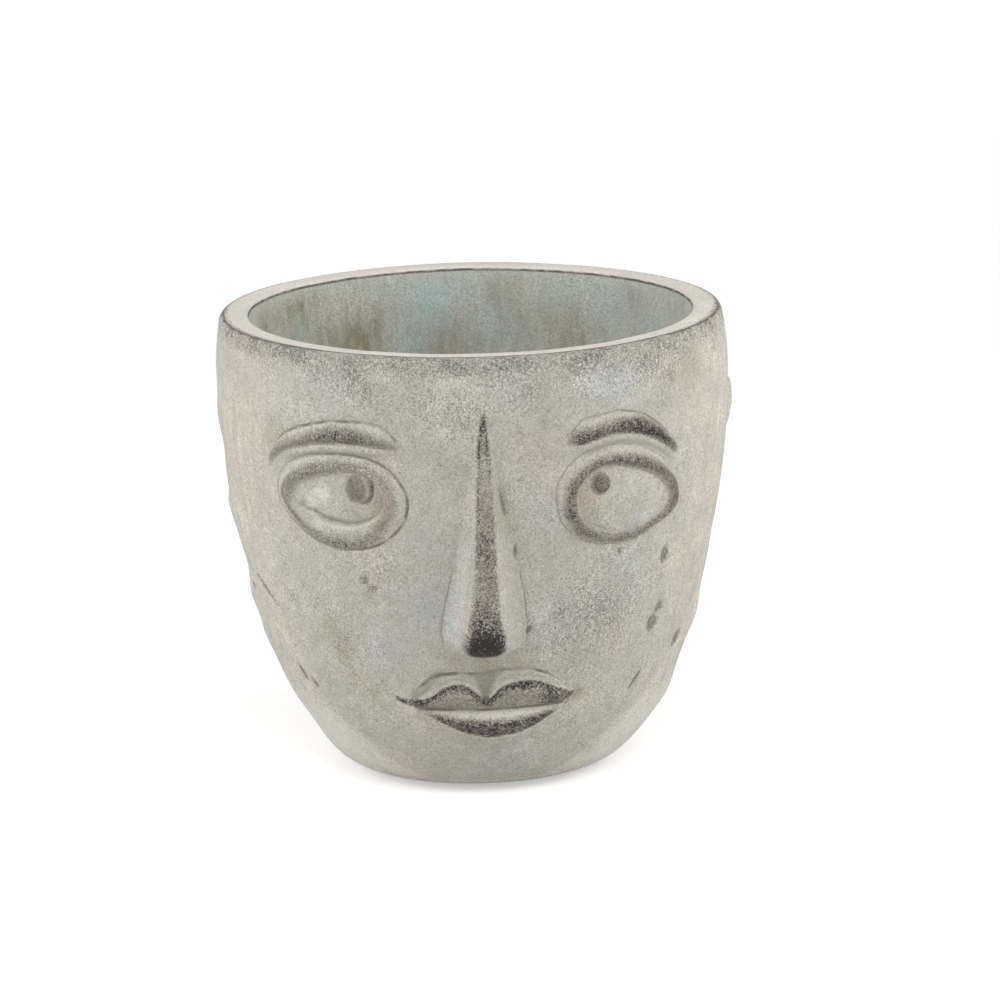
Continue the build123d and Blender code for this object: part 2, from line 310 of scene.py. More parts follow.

# Soft clouds on the wall and on its lining: turn in degrees, height and radius
# in millimetres, strength. The blue ones are wash, the shade is speckled soot,
# the brownish ones are stain but under the nose painted shadow, and the lighter
# ones are paler cement but round the left eye painted highlights.
WALL_CLOUDS = {
    "blue": (
        (-14.5, 68, 11, 0.9), (-25.5, 54.5, 9.5, 0.8), (13.6, 97, 8, 0.7), (35.2, 74.3, 9, 0.9),
        (17, 62, 9, 0.7), (5.5, 12, 12, 0.5), (8.5, 143, 9, 0.7), (30, 139, 11, 0.9),
        (-36, 140, 9, 0.7), (38, 91.5, 4.6, 1), (-12, 88, 8, 0.6), (128, 96, 22, 0.8),
        (190, 60, 24, 0.9), (-116, 74, 20, 0.8),
    ),
    "shade": (
        (-52, 149, 6, 0.4), (-38, 149, 7, 0.6), (-29, 147, 8, 0.65), (-24, 140, 7, 0.5),
        (-16, 149.5, 7, 0.55), (-13, 137, 7, 0.36), (-4, 133, 7, 0.3), (2, 149.5, 7, 0.5),
        (11, 140, 8, 0.4), (21, 149, 7, 0.6), (31, 148, 6, 0.6), (40, 146.5, 7, 0.7),
        (46, 138, 6, 0.45), (52, 149, 8, 0.55), (44, 131, 5, 0.3), (18.6, 65, 2.8, 0.7),
        (21.5, 60.5, 4.2, 0.42), (28.6, 63, 15, 0.46), (24, 52, 12, 0.38), (30, 79, 5, 0.3),
        (-52.9, 79.1, 2.4, 0.4), (-53.5, 66.6, 2.6, 0.4), (-38, 55, 6, 0.26), (-22, 80, 8, 0.2),
        (70, 148, 9, 0.45), (104, 148, 10, 0.55), (146, 148, 9, 0.5), (180, 146, 12, 0.55),
        (-140, 148, 9, 0.55), (-100, 149, 9, 0.45), (-72, 149, 7, 0.45),
    ),
    "brown": (
        # The first three lie under the nose: painted shadow
        (-8, 49.5, 5, 0.5), (0, 48.5, 6, 0.6), (8, 49.5, 5, 0.6), (3, 107, 3.6, 0.6),
        (3.6, 99, 3.4, 0.5), (25.6, 35.2, 2.6, 1), (-22.6, 102.8, 3.6, 1), (-22.2, 96.2, 3.2, 0.8),
        (-28, 75, 3.6, 0.5), (-40, 57.5, 5.5, 0.6), (-38.5, 49.5, 4.2, 0.7), (-36.4, 41.6, 4, 0.6),
        (-33, 35.8, 4, 0.5), (-28, 107.8, 3.6, 0.4), (23, 101, 5, 0.7), (22, 93, 5, 0.6),
        (-50, 121, 6, 0.4), (54, 140, 8, 0.5), (12, 122, 8, 0.25), (-3, 28, 9, 0.25),
    ),
    "pale": (
        # The first three lie round the left eye: painted highlights
        (-37, 105, 3.2, 0.9), (-40.5, 102, 2.6, 0.7), (-38.5, 96, 2.4, 0.7), (-22, 146, 6, 0.3),
        (-7, 144, 6, 0.25), (24, 140, 6, 0.25), (40, 92, 4, 0.6), (-22, 34, 4, 0.6),
    ),
}
LINING_CLOUDS = {
    "blue": (
        (-171, 141, 9, 1), (-165, 126, 7, 0.9), (-158, 148, 6, 0.4), (-129, 137, 4.5, 0.8),
        (178, 149, 8, 0.6), (152, 148, 9, 0.6), (138, 142, 10, 0.5), (120, 132, 9, 0.4),
        (172, 132, 7, 0.7), (20, 120, 16, 0.7), (-60, 110, 14, 0.6),
    ),
    "brown": (
        (-150, 129, 12, 1), (-137, 132, 10, 0.8), (-128, 142, 12, 0.9), (-112, 138, 9, 0.7),
        (168, 137, 9, 0.7), (150, 130, 11, 0.7), (-176, 126, 9, 0.6), (128, 146, 8, 0.5),
        (60, 130, 16, 0.7), (-30, 130, 16, 0.7),
    ),
}


def measure(name, description, default, unit="LENGTH"):
    """A number property, in metres unless another unit is given; a share has none."""
    return FloatProperty(name=name, description=description, default=default, unit=unit)


class PlanterSizes(bpy.types.PropertyGroup):
    """Lengths of the cast pot."""

    foot_radius: measure("Foot radius", "Radius of the flat underside", 0.0396)
    foot_pull: measure("Foot pull", "Level run of the outer curve", 0.56, "NONE")
    side_pull: measure("Side pull", "Upright run of the outer curve", 0.41, "NONE")
    rim_band: measure("Rim band", "Height over which the wall draws in below the rim", 0.02)
    rim_draw_in: measure("Draw in", "How much smaller the rim is than the belly", 0.002)
    rim_wall: measure("Wall", "Thickness of the wall at the rim", 0.0095)
    rim_outer_rounding: measure("Outer rounding", "Radius of the rim's outer edge", 0.0026)
    rim_inner_rounding: measure("Inner rounding", "Radius of the rim's inner edge", 0.0018)
    floor_thickness: measure("Floor", "Thickness of the floor", 0.012)
    cavity_straight: measure("Straight part", "Depth of the upright part of the cavity", 0.032)
    cavity_floor_radius: measure("Floor radius", "Radius of the flat floor inside", 0.043)
    cavity_foot_pull: measure("Inner foot pull", "Level run of the inner curve", 0.16, "NONE")
    cavity_side_pull: measure("Inner side pull", "Upright run of the inner curve", 0.58, "NONE")
    drain_radius: measure("Drain radius", "Radius of the drain hole", 0.0065)
    drain_chamfer: measure("Drain chamfer", "Bevel where the drain leaves the foot", 0.001)
    unevenness: measure("Unevenness", "How deep the hand-made waves of the wall are", 0.00035)


class FaceSizes(bpy.types.PropertyGroup):
    """Places and lengths of the face, heights being above the shell's underside."""

    eye_angle: measure("Eye turn", "Turn of an eye from the nose", math.radians(34.4), "ROTATION")
    eye_height: measure("Eye height", "Height of the eyes", 0.1015)
    eye_length: measure("Eye length", "Width the eye shares refer to", 0.0455)
    eye_tall: measure("Eye tallness", "Height the eye shares refer to", 0.02645)
    lid_rise: measure("Lid rise", "How far the lids stand out", 0.0022)
    eyeball_rise: measure("Eyeball rise", "How far the eyeballs bulge", 0.0013)
    pupil_rise: measure("Pupil rise", "How far a pupil stands out", 0.0015)
    brow_angle: measure("Brow turn", "Turn of a brow from the nose", math.radians(34.6), "ROTATION")
    brow_height: measure("Brow height", "Height the brow shares start from", 0.1195)
    brow_length: measure("Brow length", "Length of a brow", 0.047)
    brow_tall: measure("Brow tallness", "Height the brow shares refer to", 0.01)
    brow_rise: measure("Brow rise", "How far the brows stand out", 0.002)
    nose_top: measure("Nose root", "Height of the top of the nose", 0.134)
    nose_bottom: measure("Nose underside", "Height of the nose's underside", 0.0505)
    nose_base: measure("Nose base", "Width of the nose where it meets the wall", 0.0286)
    nose_crest: measure("Nose crest", "Width of the nose's dark crest", 0.015)
    nose_rise: measure("Nose rise", "How far the tip of the nose stands out", 0.0088)
    mouth_height: measure("Mouth height", "Height of the line between the lips", 0.0321)
    mouth_width: measure("Mouth width", "Width the lip shares refer to", 0.058)
    lip_tall: measure("Lip tallness", "Height the lip shares refer to", 0.0094)
    upper_lip_rise: measure("Upper lip rise", "How far the upper lip stands out", 0.0024)
    lower_lip_rise: measure("Lower lip rise", "How far the lower lip stands out", 0.0032)
    ear_angle: measure("Ear turn", "Turn of an ear from the nose", math.radians(96), "ROTATION")
    ear_height: measure("Ear height", "Height of the ears", 0.1035)
    ear_tall: measure("Ear tallness", "Height of an ear's loop", 0.037)
    ear_width: measure("Ear width", "Width of an ear's loop", 0.021)
    ear_ridge: measure("Ear ridge", "Width of an ear's ridge", 0.007)
    ear_rise: measure("Ear rise", "How far an ear stands out", 0.0021)


def colour(name, description, red, green, blue):
    """A colour property whose default is given as screen values from 0 to 255."""
    return FloatVectorProperty(
        name=name,
        description=description,
        default=(red / 255, green / 255, blue / 255),
        subtype="COLOR_GAMMA",
        min=0,
        max=1,
    )


class PlanterColours(bpy.types.PropertyGroup):
    """Colours of the cement, its washes and the rubber, as they look on screen."""

    cement: colour("Cement", "Body colour of the cast cement", 181, 175, 164)
    cement_green: colour("Green wash", "Grey-green of the wash", 174, 172, 160)
    cement_pink: colour("Pink cement", "Warmer tone where the wash is thin", 184, 173, 162)
    # Painted light: the sides and the foot painted lighter and warmer, as lit from the sides
    cement_warm: colour("Warm sides", "Pale warm tone of the sides and the foot", 196, 186, 175)
    cement_blue: colour("Blue wash", "Blue-grey clouds of the wash", 168, 171, 168)
    # Stain, and under the nose painted shadow
    cement_brown: colour("Brown stain", "Brown stain beside the rubbed places", 157, 142, 124)
    # Painted highlights on the relief, the lighter foot as painted light, and paler cement
    chalk: colour("Chalk", "Palest worn places", 212, 207, 197)
    soot: colour("Soot wash", "Grey-brown clouds under the rim and on the cheeks", 106, 102, 95)
    rub_thin: colour("Thin rub", "Brown of the rub where it lies thin", 90, 70, 60)
    rub: colour("Dark rub", "Dark brown rubbed on the raised relief", 40, 31, 31)
    groove: colour("Groove wash", "Olive-brown left in engraved lines", 112, 105, 93)
    smear: colour("Smooth wash", "Smooth grey-olive between the features", 152, 146, 133)
    # Lighter colour of the rim's top face
    rim: colour("Rim", "Pale worn top of the rim", 224, 216, 206)
    inside: colour("Inside", "Grey-green inside of the pot", 196, 198, 188)
    inside_blue: colour("Inside blue", "Blue-green patches inside", 176, 201, 199)
    inside_brown: colour("Inside brown", "Brown runs inside", 156, 147, 128)
    rubber: colour("Plug rubber", "Black rubber of the plug", 44, 43, 42)
    foam: colour("Pad rubber", "Dark grey rubber of the pads", 66, 65, 64)


class StageSettings(bpy.types.PropertyGroup):
    """Camera and light of the studio."""

    view_turn: measure("View turn", "Camera's turn round the pot", math.radians(-2), "ROTATION")
    view_rise: measure("View rise", "Height angle of the camera", math.radians(12.96), "ROTATION")
    view_distance: measure("Distance", "Distance of the camera from the point it looks at", 1.5)
    view_roll: measure("Roll", "Roll of the camera", math.radians(1.5), "ROTATION")
    aim_side: measure("Aim side", "How far right of the axis the camera looks", 0.0081)
    aim_height: measure("Aim height", "Height the camera looks at", 0.087)
    lens: measure("Lens", "Focal length on a 36 mm sensor", 162.4, "CAMERA")
    ambient: measure("Ambient", "Strength of the even light all round", 0.5, "NONE")
    side_light: measure("Side light", "Power of each side softbox", 3.4, "POWER")
    front_light: measure("Front light", "Power of the overhead front softbox", 2.5, "POWER")
    floor_glow: measure("Floor glow", "White added to the floor for the camera", 0.42, "NONE")
    far_glow: measure("Far glow", "More white added to the floor far from the pot", 0.16, "NONE")


def ease(low, high, value):
    """Smooth step: 0 at low, 1 at high, three t squared less two t cubed between."""
    t = np.clip((value - low) / (high - low), 0, 1)
    return t * t * (3 - 2 * t)


def span(value, start, full, fade, end):
    """Smooth plateau: rises from 0 at start to 1 at full, falls from 1 at fade to 0 at end."""
    return ease(start, full, value) * ease(end, fade, value)


def smooth_curve(at, places, values):
    """Smooth curve through (place, value) points, read at every number in at.

    Each gap is a cubic Hermite piece whose end slopes are the points' central
    differences; past the ends the curve stays level.
    """
    places, values = np.array(places, float), np.array(values, float)
    slopes = np.gradient(values, places)
    at = np.clip(at, places[0], places[-1])
    left = np.clip(np.searchsorted(places, at, side="right") - 1, 0, len(places) - 2)
    gap = places[left + 1] - places[left]
    t = (at - places[left]) / gap
    rise = values[left + 1] - values[left]
    first, last = gap * slopes[left], gap * slopes[left + 1]
    bend, twist = 3 * rise - 2 * first - last, first + last - 2 * rise
    return values[left] + t * first + t**2 * bend + t**3 * twist


def columns_of(shares, at):
    """Every column after the first of a share table, as smooth curves over the first."""
    table = np.array(shares, float)
    return [smooth_curve(at, table[:, 0], column) for column in table[:, 1:].T]


def hump(share, crest):
    """Rounded hump from 0 at share 0 to 1 at the crest and back to 0 at share 1.

    Each side is half a raised cosine.
    """
    side = np.where(share < crest, (crest - share) / crest, (share - crest) / (1 - crest))
    return 0.5 + 0.5 * np.cos(np.pi * np.clip(side, 0, 1))


def spread(start, end, count, base, zones):
    """count places from start to end, closer together in the zones.

    The density is the base and, in each zone, its extra. The places are where
    the running sum of the density passes equal steps.
    """
    fine = np.linspace(start, end, 6001)
    density = base + sum(extra * span(fine, *edges) for *edges, extra in zones)
    total = np.concatenate(([0], np.cumsum((density[1:] + density[:-1]) / 2)))
    return np.interp(np.linspace(0, total[-1], count), total, fine)


def bezier(points, count):
    """count points of a cubic Bezier curve, its control points times Bernstein weights."""
    t = np.linspace(0, 1, count)[:, None]
    s = 1 - t
    a, b, c, d = np.array(points, float)
    return s**3 * a + 3 * s**2 * t * b + 3 * s * t**2 * c + t**3 * d


def wall_control(foot, floor, side, top, foot_pull, side_pull):
    """Control points of a wall curve, level at its foot and upright at its top."""
    return (
        (foot, floor),
        (foot + foot_pull * (side - foot), floor),
        (side, top - side_pull * (top - floor)),
        (side, top),
    )


def arc(centre, radius, start, end, count):
    """count points of a circular arc in the profile plane, angles in degrees from outward."""
    turn = np.radians(np.linspace(start, end, count))
    return np.stack([centre[0] + radius * np.cos(turn), centre[1] + radius * np.sin(turn)], 1)


class Profile:
    """The pot's cross section: radii and heights above the shell's underside."""

    def __init__(self, sizes):
        self.sizes = sizes
        self.height = SHELL_HIGH.z - SHELL_LOW.z
        belly, belly_height = SHELL_HIGH.y, self.height - sizes.rim_band
        self.mouth = belly - sizes.rim_draw_in - sizes.rim_wall
        pulls = sizes.foot_pull, sizes.side_pull
        lower = bezier(wall_control(sizes.foot_radius, 0, belly, belly_height, *pulls), 2000)
        # Above the belly the wall is a circular arc that starts upright
        bow = (sizes.rim_band**2 + sizes.rim_draw_in**2) / (2 * sizes.rim_draw_in)
        above = np.linspace(0, sizes.rim_band, 200)[1:]
        upper = belly - bow + np.sqrt(bow**2 - above**2)
        self.heights = np.concatenate([lower[:, 1], belly_height + above])
        self.radii = np.concatenate([lower[:, 0], upper])

    def radius(self, height):
        """Radius of the plain outer wall at a height."""
        return np.interp(height, self.heights, self.radii)

    def rows(self):
        """The whole section as a closed loop of (radius, height) points.

        It runs from the drain out under the foot, up the outer wall, over the
        rim, down the inner wall and across the floor back to the drain. wall,
        edge and lining are the rows of the outer wall, of the rounding above it
        and of all that lies inside the rim.
        """
        s = self.sizes
        bore = s.drain_radius
        drain = np.linspace((bore, s.floor_thickness), (bore, s.drain_chamfer), DRAIN_ROWS)
        under = np.linspace((bore + s.drain_chamfer, 0), (s.foot_radius, 0), FLAT_ROWS)
        shoulder = self.height - s.rim_outer_rounding
        heights = MM * spread(0, shoulder / MM, WALL_ROWS, ROW_BASE, ROW_ZONES)[1:]
        # The first stretch of wall lies almost flat, so its rows are spread by radius
        heights = np.concatenate([np.linspace(0, 1, FLAT_ROWS)[1:-1] ** 2 * heights[0], heights])
        outer = np.stack([self.radius(heights), heights], 1)
        corner = outer[-1, 0] - s.rim_outer_rounding
        over = arc((corner, shoulder), s.rim_outer_rounding, 0, 90, OUTER_EDGE_ROWS)[1:]
        rounding = s.rim_inner_rounding
        lip, brink = self.mouth + rounding, self.height - rounding
        top = np.linspace((corner, self.height), (lip, self.height), RIM_ROWS)[1:]
        inner = arc((lip, brink), rounding, 90, 180, INNER_EDGE_ROWS)[1:]
        neck = self.height - s.cavity_straight
        upright = np.linspace((self.mouth, brink), (self.mouth, neck), FLAT_ROWS)[1:]
        pulls = s.cavity_foot_pull, s.cavity_side_pull
        control = wall_control(s.cavity_floor_radius, s.floor_thickness, self.mouth, neck, *pulls)
        cavity = bezier(control, CAVITY_ROWS)[::-1][1:]
        floor = np.linspace(cavity[-1], drain[0], FLAT_ROWS)[1:-1]
        parts = [drain, under, outer, over, top, inner, upright, cavity, floor]
        starts = np.cumsum([0] + [len(part) for part in parts])
        self.wall, self.edge = slice(starts[2], starts[3]), slice(starts[3], starts[4])
        self.lining = slice(starts[6], starts[9])
        return np.concatenate(parts)


class Relief:
    """What the face adds to the plain wall at every (turn, height) of a grid.

    out is how far the wall moves outward; the masks say from 0 to 1 where each wash and
    each painted light and shadow lies, and outline and engrave where thin lines are cut.
    """

    def __init__(self, turn, height, profile):
        self.turn, self.height = turn, height
        self.arc = profile.radius(height)
        self.out = np.zeros_like(turn)
        self.outline = np.full_like(turn, NO_LINE)
        self.engrave = np.zeros_like(turn)
        self.masks = {name: np.zeros_like(turn) for name in MASKS}

    def across(self, angle, side=1):
        """Length along the wall from an angle in degrees on one side, away from the nose."""
        away = (self.turn * side - angle + 180) % 360 - 180
        return np.radians(away) * self.arc

    def draw(self, distance, strength, where=True):
        """Cuts a thin line where the distance is 0; the nearer of two lines wins."""
        nearer = (np.abs(distance) < np.abs(self.outline)) & (strength > 0) & where
        self.outline = np.where(nearer, distance, self.outline)
        self.engrave = np.where(nearer, strength, self.engrave)

    def lay(self, mask, strength):
        """Lays a wash on; where two overlap, the stronger one shows."""
        self.masks[mask] = np.maximum(self.masks[mask], strength)


def eye(relief, face, side, shares, spot, line, crease, smooth):
    """Lids, eyeball and pupil of one eye.

    In lengths scaled by the eye's half length and half height, the opening and
    the outer outline are two rings given by their reach at each angle. A lid
    is a hump over the way from ring to ring, its crest near the opening, and
    the eyeball is a paraboloid over the opening. line is the strength of the
    line round the lids, crease that of the fold in the lower lid, and smooth
    says how even the rub is at the temple.
    """
    x = relief.across(math.degrees(face.eye_angle), side)
    y = relief.height - face.eye_height
    sx, sy = x / (face.eye_length / 2), y / (face.eye_tall / 2)
    angle = np.degrees(np.arctan2(sy, sx))
    reach = np.maximum(np.hypot(sx, sy), 0.02)
    table = np.array(shares, float)
    ring = np.concatenate([table[-2:], table, table[:3]])
    places = -180 + EYE_STEP * np.arange(-2, len(table) + 3)
    opening, outline, place, strength = [smooth_curve(angle, places, column) for column in ring.T]
    unit = np.hypot(x, y) / reach
    gap = (outline - opening) * unit
    share = (reach - opening) / (outline - opening)
    near = ease(2, 1.9, reach)
    relief.out += near * face.lid_rise * hump(share, 0.3)
    relief.out += near * face.eyeball_rise * (1 - np.clip(reach / opening, 0, 1) ** 2)

    to_temple = np.cos(np.radians(angle))
    off = np.abs(share - place) * gap
    band = near * ease(3.8 * MM, 0.6 * MM, off) * span(share, -0.04, 0.1, 0.92, 1.08)
    relief.lay("rub", band * strength)
    relief.lay("smear", band * smooth * (0.5 + 0.5 * ease(0.2, 0.8, to_temple)))
    # Painted highlight on the outer slope of the lids
    relief.lay("pale", 0.3 * near * span(share, 0.5, 0.7, 0.9, 1.02))
    relief.draw((reach - outline) * unit, near * line * (0.75 - 0.25 * to_temple))

    low = ease(0.1, -0.5, sy / reach)
    past = share * gap
    relief.draw(past, near * np.maximum((0.1 + 0.3 * crease) * low, 0.35 * (1 - low)))
    fold = near * crease * low
    relief.lay("smear", 0.85 * fold * ease(1.9 * MM, 0.7 * MM, np.abs(past)))
    relief.lay("dent", 0.5 * fold * ease(1.2 * MM, 0.5 * MM, np.abs(past)))
    # Painted highlight along the fold of the lower lid
    relief.lay("pale", fold * span(past / MM, 0.5, 1, 1.6, 2.6))
    pupil(relief, face, x, y, spot, crease)


def pupil(relief, face, x, y, spot, crease):
    """Low dome of a pupil with a fine moat round it, the dark disc and a painted shadow crescent.
    """
    *lengths, dark = spot
    middle_x, middle_y, radius, shift = np.array(lengths) * MM
    dx, dy = x - middle_x, y - middle_y
    away = np.hypot(dx, dy * 0.95) / radius
    relief.out += face.pupil_rise * np.clip(1 - away**2, 0, 1) ** 0.7
    relief.out -= PUPIL_MOAT_DEPTH * np.exp(-(((away - 1.06) / 0.1) ** 2))
    disc = ease(1, 0.7, np.hypot(dx - shift, dy * 0.88) / radius)
    relief.lay("smear", 0.6 * disc)
    relief.lay("rub", dark * disc)
    # Painted shadow: a dark crescent and a line on the pupil's lower side towards the nose
    below = crease * ease(0.1, 0.9, (-dx - 0.5 * dy) / radius)
    relief.draw((away - 1.04) * radius, 0.6 * below, away < 1.5)
    relief.lay("rub", 0.55 * below * ease(0.24, 0.08, np.abs(away - 1)))


def brow(relief, face, side, shares, line):
    """One brow: a hump from the lower edge to the top edge, both curves along the brow."""
    x = relief.across(math.degrees(face.brow_angle), side)
    y = (relief.height - face.brow_height) / face.brow_tall
    along = x / (face.brow_length / 2)
    low, dark_top, high, strength = columns_of(shares, along)
    first, last = shares[0][0], shares[-1][0]
    ends = span(along, first - 0.1, first + 0.06, last - 0.14, last + 0.06)
    share = (y - low) / (high - low)
    relief.out += face.brow_rise * ends * hump(share, 0.34)
    band = ease(-0.03, 0.07, y - low) * ease(0.24, -0.16, y - dark_top)
    relief.lay("rub", band * 0.88 * strength * ends)
    relief.lay("smear", 0.25 * band * ends)
    # Painted highlight along the top of the brow
    relief.lay("pale", 0.4 * ends * ease(-0.02, 0.14, y - dark_top) * ease(0.02, -0.08, y - high))
    beyond = np.maximum(first - 0.08 - along, along - last) * face.brow_length / 2
    distance = np.maximum(np.maximum(y - high, low - y) * face.brow_tall, beyond)
    upper = line * ease(last, last - 0.4, along)
    relief.draw(distance, np.where(y > (low + high) / 2, upper, 0.3) * ends)
    below = (low - y) * face.brow_tall
    middle = ends * span(along, -1, -0.6, 0.6, 0.95)
    # Painted highlight in a thin line just under the brow
    relief.lay("pale", 0.55 * middle * span(below / MM, -0.1, 0.2, 0.6, 1.2))
    relief.lay("smear", middle * span(below / MM, 1.4, 2.1, 3, 4.1))


def nose(relief, face):
    """Wedge of the nose: at each height a rounded crest, hollow flanks and a foot."""
    x = relief.across(0)
    up = (relief.height - face.nose_bottom) / (face.nose_top - face.nose_bottom)
    centre, base, crest, rise, strength = columns_of(NOSE_SHARES, up)
    x -= centre * face.nose_crest
    base, crest = base * face.nose_base / 2, crest * face.nose_crest / 2
    inside = span(up, -0.002, 0.002, 0.998, 1.002)
    flat = 0.5 * crest
    way = np.clip((np.abs(x) - flat) / np.maximum(base - flat, 0.5 * MM), 0, 1)
    relief.out += inside * face.nose_rise * rise * (0.5 + 0.5 * np.cos(np.pi * way)) ** 1.3
    tip = ease(0.22, 0.05, up)
    edge = np.abs(x) - crest
    soft = 0.6 * MM + 0.6 * MM * tip + 2 * MM * tip * ease(0, -5 * MM, x)
    lowest = 0.03 * np.clip(x / crest, -1, 1) ** 2
    dark = ease(soft, -soft, edge) * span(up, lowest, lowest + 0.034, 0.97, 1)
    rim = ease(1.1 * MM, 0.3 * MM, np.abs(edge)) * ease(0.5, 0.62, up)
    rim = rim * np.where(x < 0, 0.4, 0.36 * ease(0.68, 0.78, up))
    core = ease(1, 0.1, np.hypot((x - 1.2 * MM) / (8 * MM), (up - 0.07) / 0.09))
    relief.lay("rub", dark * (np.minimum(strength + rim, 1) + 0.5 * core))
    beyond = np.maximum(-up, up - 1) * (face.nose_top - face.nose_bottom)
    relief.draw(np.maximum(np.abs(x) - base, beyond), 0.5 * span(up, 0.02, 0.07, 0.3, 0.52))
    flank = span(way, 0.3, 0.5, 0.86, 1) * span(up, 0.03, 0.12, 0.4, 0.6)
    left = ease(MM, -MM, x)
    relief.lay("blue", flank * left)
    # Painted highlight on the left flank
    relief.lay("pale", 0.35 * flank * left)
    relief.lay("smear", 0.3 * flank * (1 - left))
    plane = span(way, 0.25, 0.45, 0.8, 0.98) * span(up, 0.4, 0.55, 0.8, 0.92)
    relief.lay("smear", 0.45 * plane * ease(0, MM, x))


def mouth(relief, face):
    """Lips with the line between them, the ledge above the upper lip and the philtrum.

    Each lip is a hump between two edge curves across the mouth, its rise
    growing with its thickness there.
    """
    across = relief.across(0) / (face.mouth_width / 2)
    up = (relief.height - face.mouth_height) / face.lip_tall
    top, bottom, strength = columns_of(UPPER_LIP_SHARES, across)
    thick = np.clip(top - bottom, 0.02, None)
    ends = span(across, -1.1, -1, 0.97, 1.05)
    share = (up - bottom) / thick
    relief.out += face.upper_lip_rise * ends * np.clip(thick, 0, 1) ** 0.5 * hump(share, 0.6)
    inside = ease(-0.06, 0.04, up - bottom) * ease(0.05, -0.03, up - top) * ends
    rim = ease(-0.4, -0.1, up - top)
    right = ease(0.4, 0.7, across) * (1 - rim)
    relief.lay("rub", inside * (0.4 + 0.5 * rim * strength + 0.36 * right))
    above = (up - top) * face.lip_tall
    # Painted highlight over the upper lip
    relief.lay("pale", 0.5 * ends * span(above / MM, -0.2, 0.3, 1, 2.2))

    roof, floor = columns_of(LOWER_LIP_SHARES, across)
    depth = np.clip(roof - floor, 0.02, None)
    low_ends = span(across, -0.8, -0.7, 0.8, 0.92)
    low_share = (up - floor) / depth
    relief.out += (
        face.lower_lip_rise * low_ends * np.clip(depth, 0, 1) ** 0.5 * hump(low_share, 0.5)
    )
    within = ease(-0.03, 0.03, up - floor) * ease(0.02, -0.04, up - roof) * low_ends
    rubbed = span(across, -0.76, -0.5, 0.66, 0.88)
    relief.lay("rub", within * (0.04 + 0.8 * rubbed * ease(0.84, 0.5, low_share)))
    # Painted highlight on the top of the lower lip
    relief.lay("pale", within * ease(0.62, 0.8, low_share))
    under = (floor - up) * face.lip_tall
    relief.lay("pale", 0.65 * low_ends * span(under / MM, 0, 0.3, 0.6, 1.1))

    gap = (up - (bottom + roof) / 2) * face.lip_tall
    line = span(across, -0.84, -0.74, 0.84, 0.94)
    relief.out -= MOUTH_LINE_DEPTH * line * ease(1.1 * MM, 0.2 * MM, np.abs(gap))
    relief.draw(gap, 0.8 * line)

    (contour,) = columns_of(LIP_CONTOUR_SHARES, across)
    ledge_ends = span(across, -0.8, -0.7, 0.62, 0.9)
    ledge = ease(0.04, -0.1, up - contour) * ease(-0.06, 0.06, up - top) * ledge_ends
    relief.out += LEDGE_RISE * ledge
    philtrum_up = (up - top) / np.maximum(contour - top, 0.1)
    valley_half = 0.03 + 0.15 * np.clip(philtrum_up, 0, 1)
    valley = ease(valley_half * 1.35, valley_half * 0.55, np.abs(across + 0.02))
    valley = valley * span(philtrum_up, -0.08, 0.04, 0.98, 1.12)
    relief.out -= PHILTRUM_DEPTH * valley
    relief.lay("smear", 0.9 * valley)
    relief.lay("dent", 0.32 * valley)
    corner = (across + 0.67) / 0.16, (up - contour + 0.1) / 0.3
    relief.lay("smear", ease(1.3, 0.8, np.hypot(corner[0] - 0.7 * corner[1], corner[1])))

    relief.draw((up - contour) * face.lip_tall, ledge_ends * ease(0.06, 0.2, np.abs(across + 0.02)))
    relief.draw(above, 0.25 * ends, share > 0.5)
    relief.draw(under, 0.3 * low_ends, low_share < 0.5)


def ear(relief, face, side, rises):
    """C-shaped ear: a ridge along an ellipse, open at the front, with a thick lobe.

    rises says how much of the full rise there is at the top, back and lobe.
    """
    x = relief.across(math.degrees(face.ear_angle), side)
    y = relief.height - face.ear_height
    sx, sy = x / (face.ear_width / 2), y / (face.ear_tall / 2)
    reach = np.maximum(np.hypot(sx, sy), 0.02)
    turn = np.degrees(np.arctan2(sy, -sx)) % 360
    along = (turn - EAR_START) / EAR_SWEEP
    width = smooth_curve(along, (0, 0.15, 0.4, 0.65, 0.85, 1), (0.6, 0.95, 1, 0.85, 1.15, 1.3))
    top, back, lobe = rises
    rise = smooth_curve(along, (0, 0.25, 0.55, 0.9, 1), (top, top, back, lobe, lobe))
    unit = np.hypot(x, y) / reach
    share = 0.5 + (reach - 1) * unit / (width * face.ear_ridge)
    ends = span(along, -0.02, 0.12, 0.95, 1.02) * ease(2.2, 2.1, reach)
    relief.out += face.ear_rise * rise * ends * hump(share, 0.55)
    relief.out -= EAR_BOWL_DEPTH * ease(0.85, 0.3, reach)
    relief.out += 0.9 * face.ear_rise * top * ease(1, 0.7, reach) * ease(0.1, 0.45, sy)
    band = ease(0.45, 0.1, np.abs(share - 0.6)) * ends
    relief.lay("rub", 0.32 * band * ease(-4 * MM, 4 * MM, x))
    relief.lay("smear", 0.5 * ease(0.8, 0.5, reach))
    relief.draw(np.abs(reach - 1) * unit - width * face.ear_ridge / 2, 0.35 * ends)


def dents(relief):
    """Dents and scratches of the casting: each is a leaning oval dip."""
    for angle, height, half_width, half_height, lean, depth in DENTS:
        x = relief.across(angle)
        y = relief.height - height * MM
        c, s = math.cos(math.radians(lean)), math.sin(math.radians(lean))
        along = (y * c + x * s) / (half_height * MM)
        off = (x * c - y * s) / (half_width * MM)
        dip = np.exp(-((along**2 + off**2) ** 1.8))
        relief.out -= DENT_DEPTH * depth * dip
        relief.lay("dent", np.minimum(0.85 * depth * dip, 1))


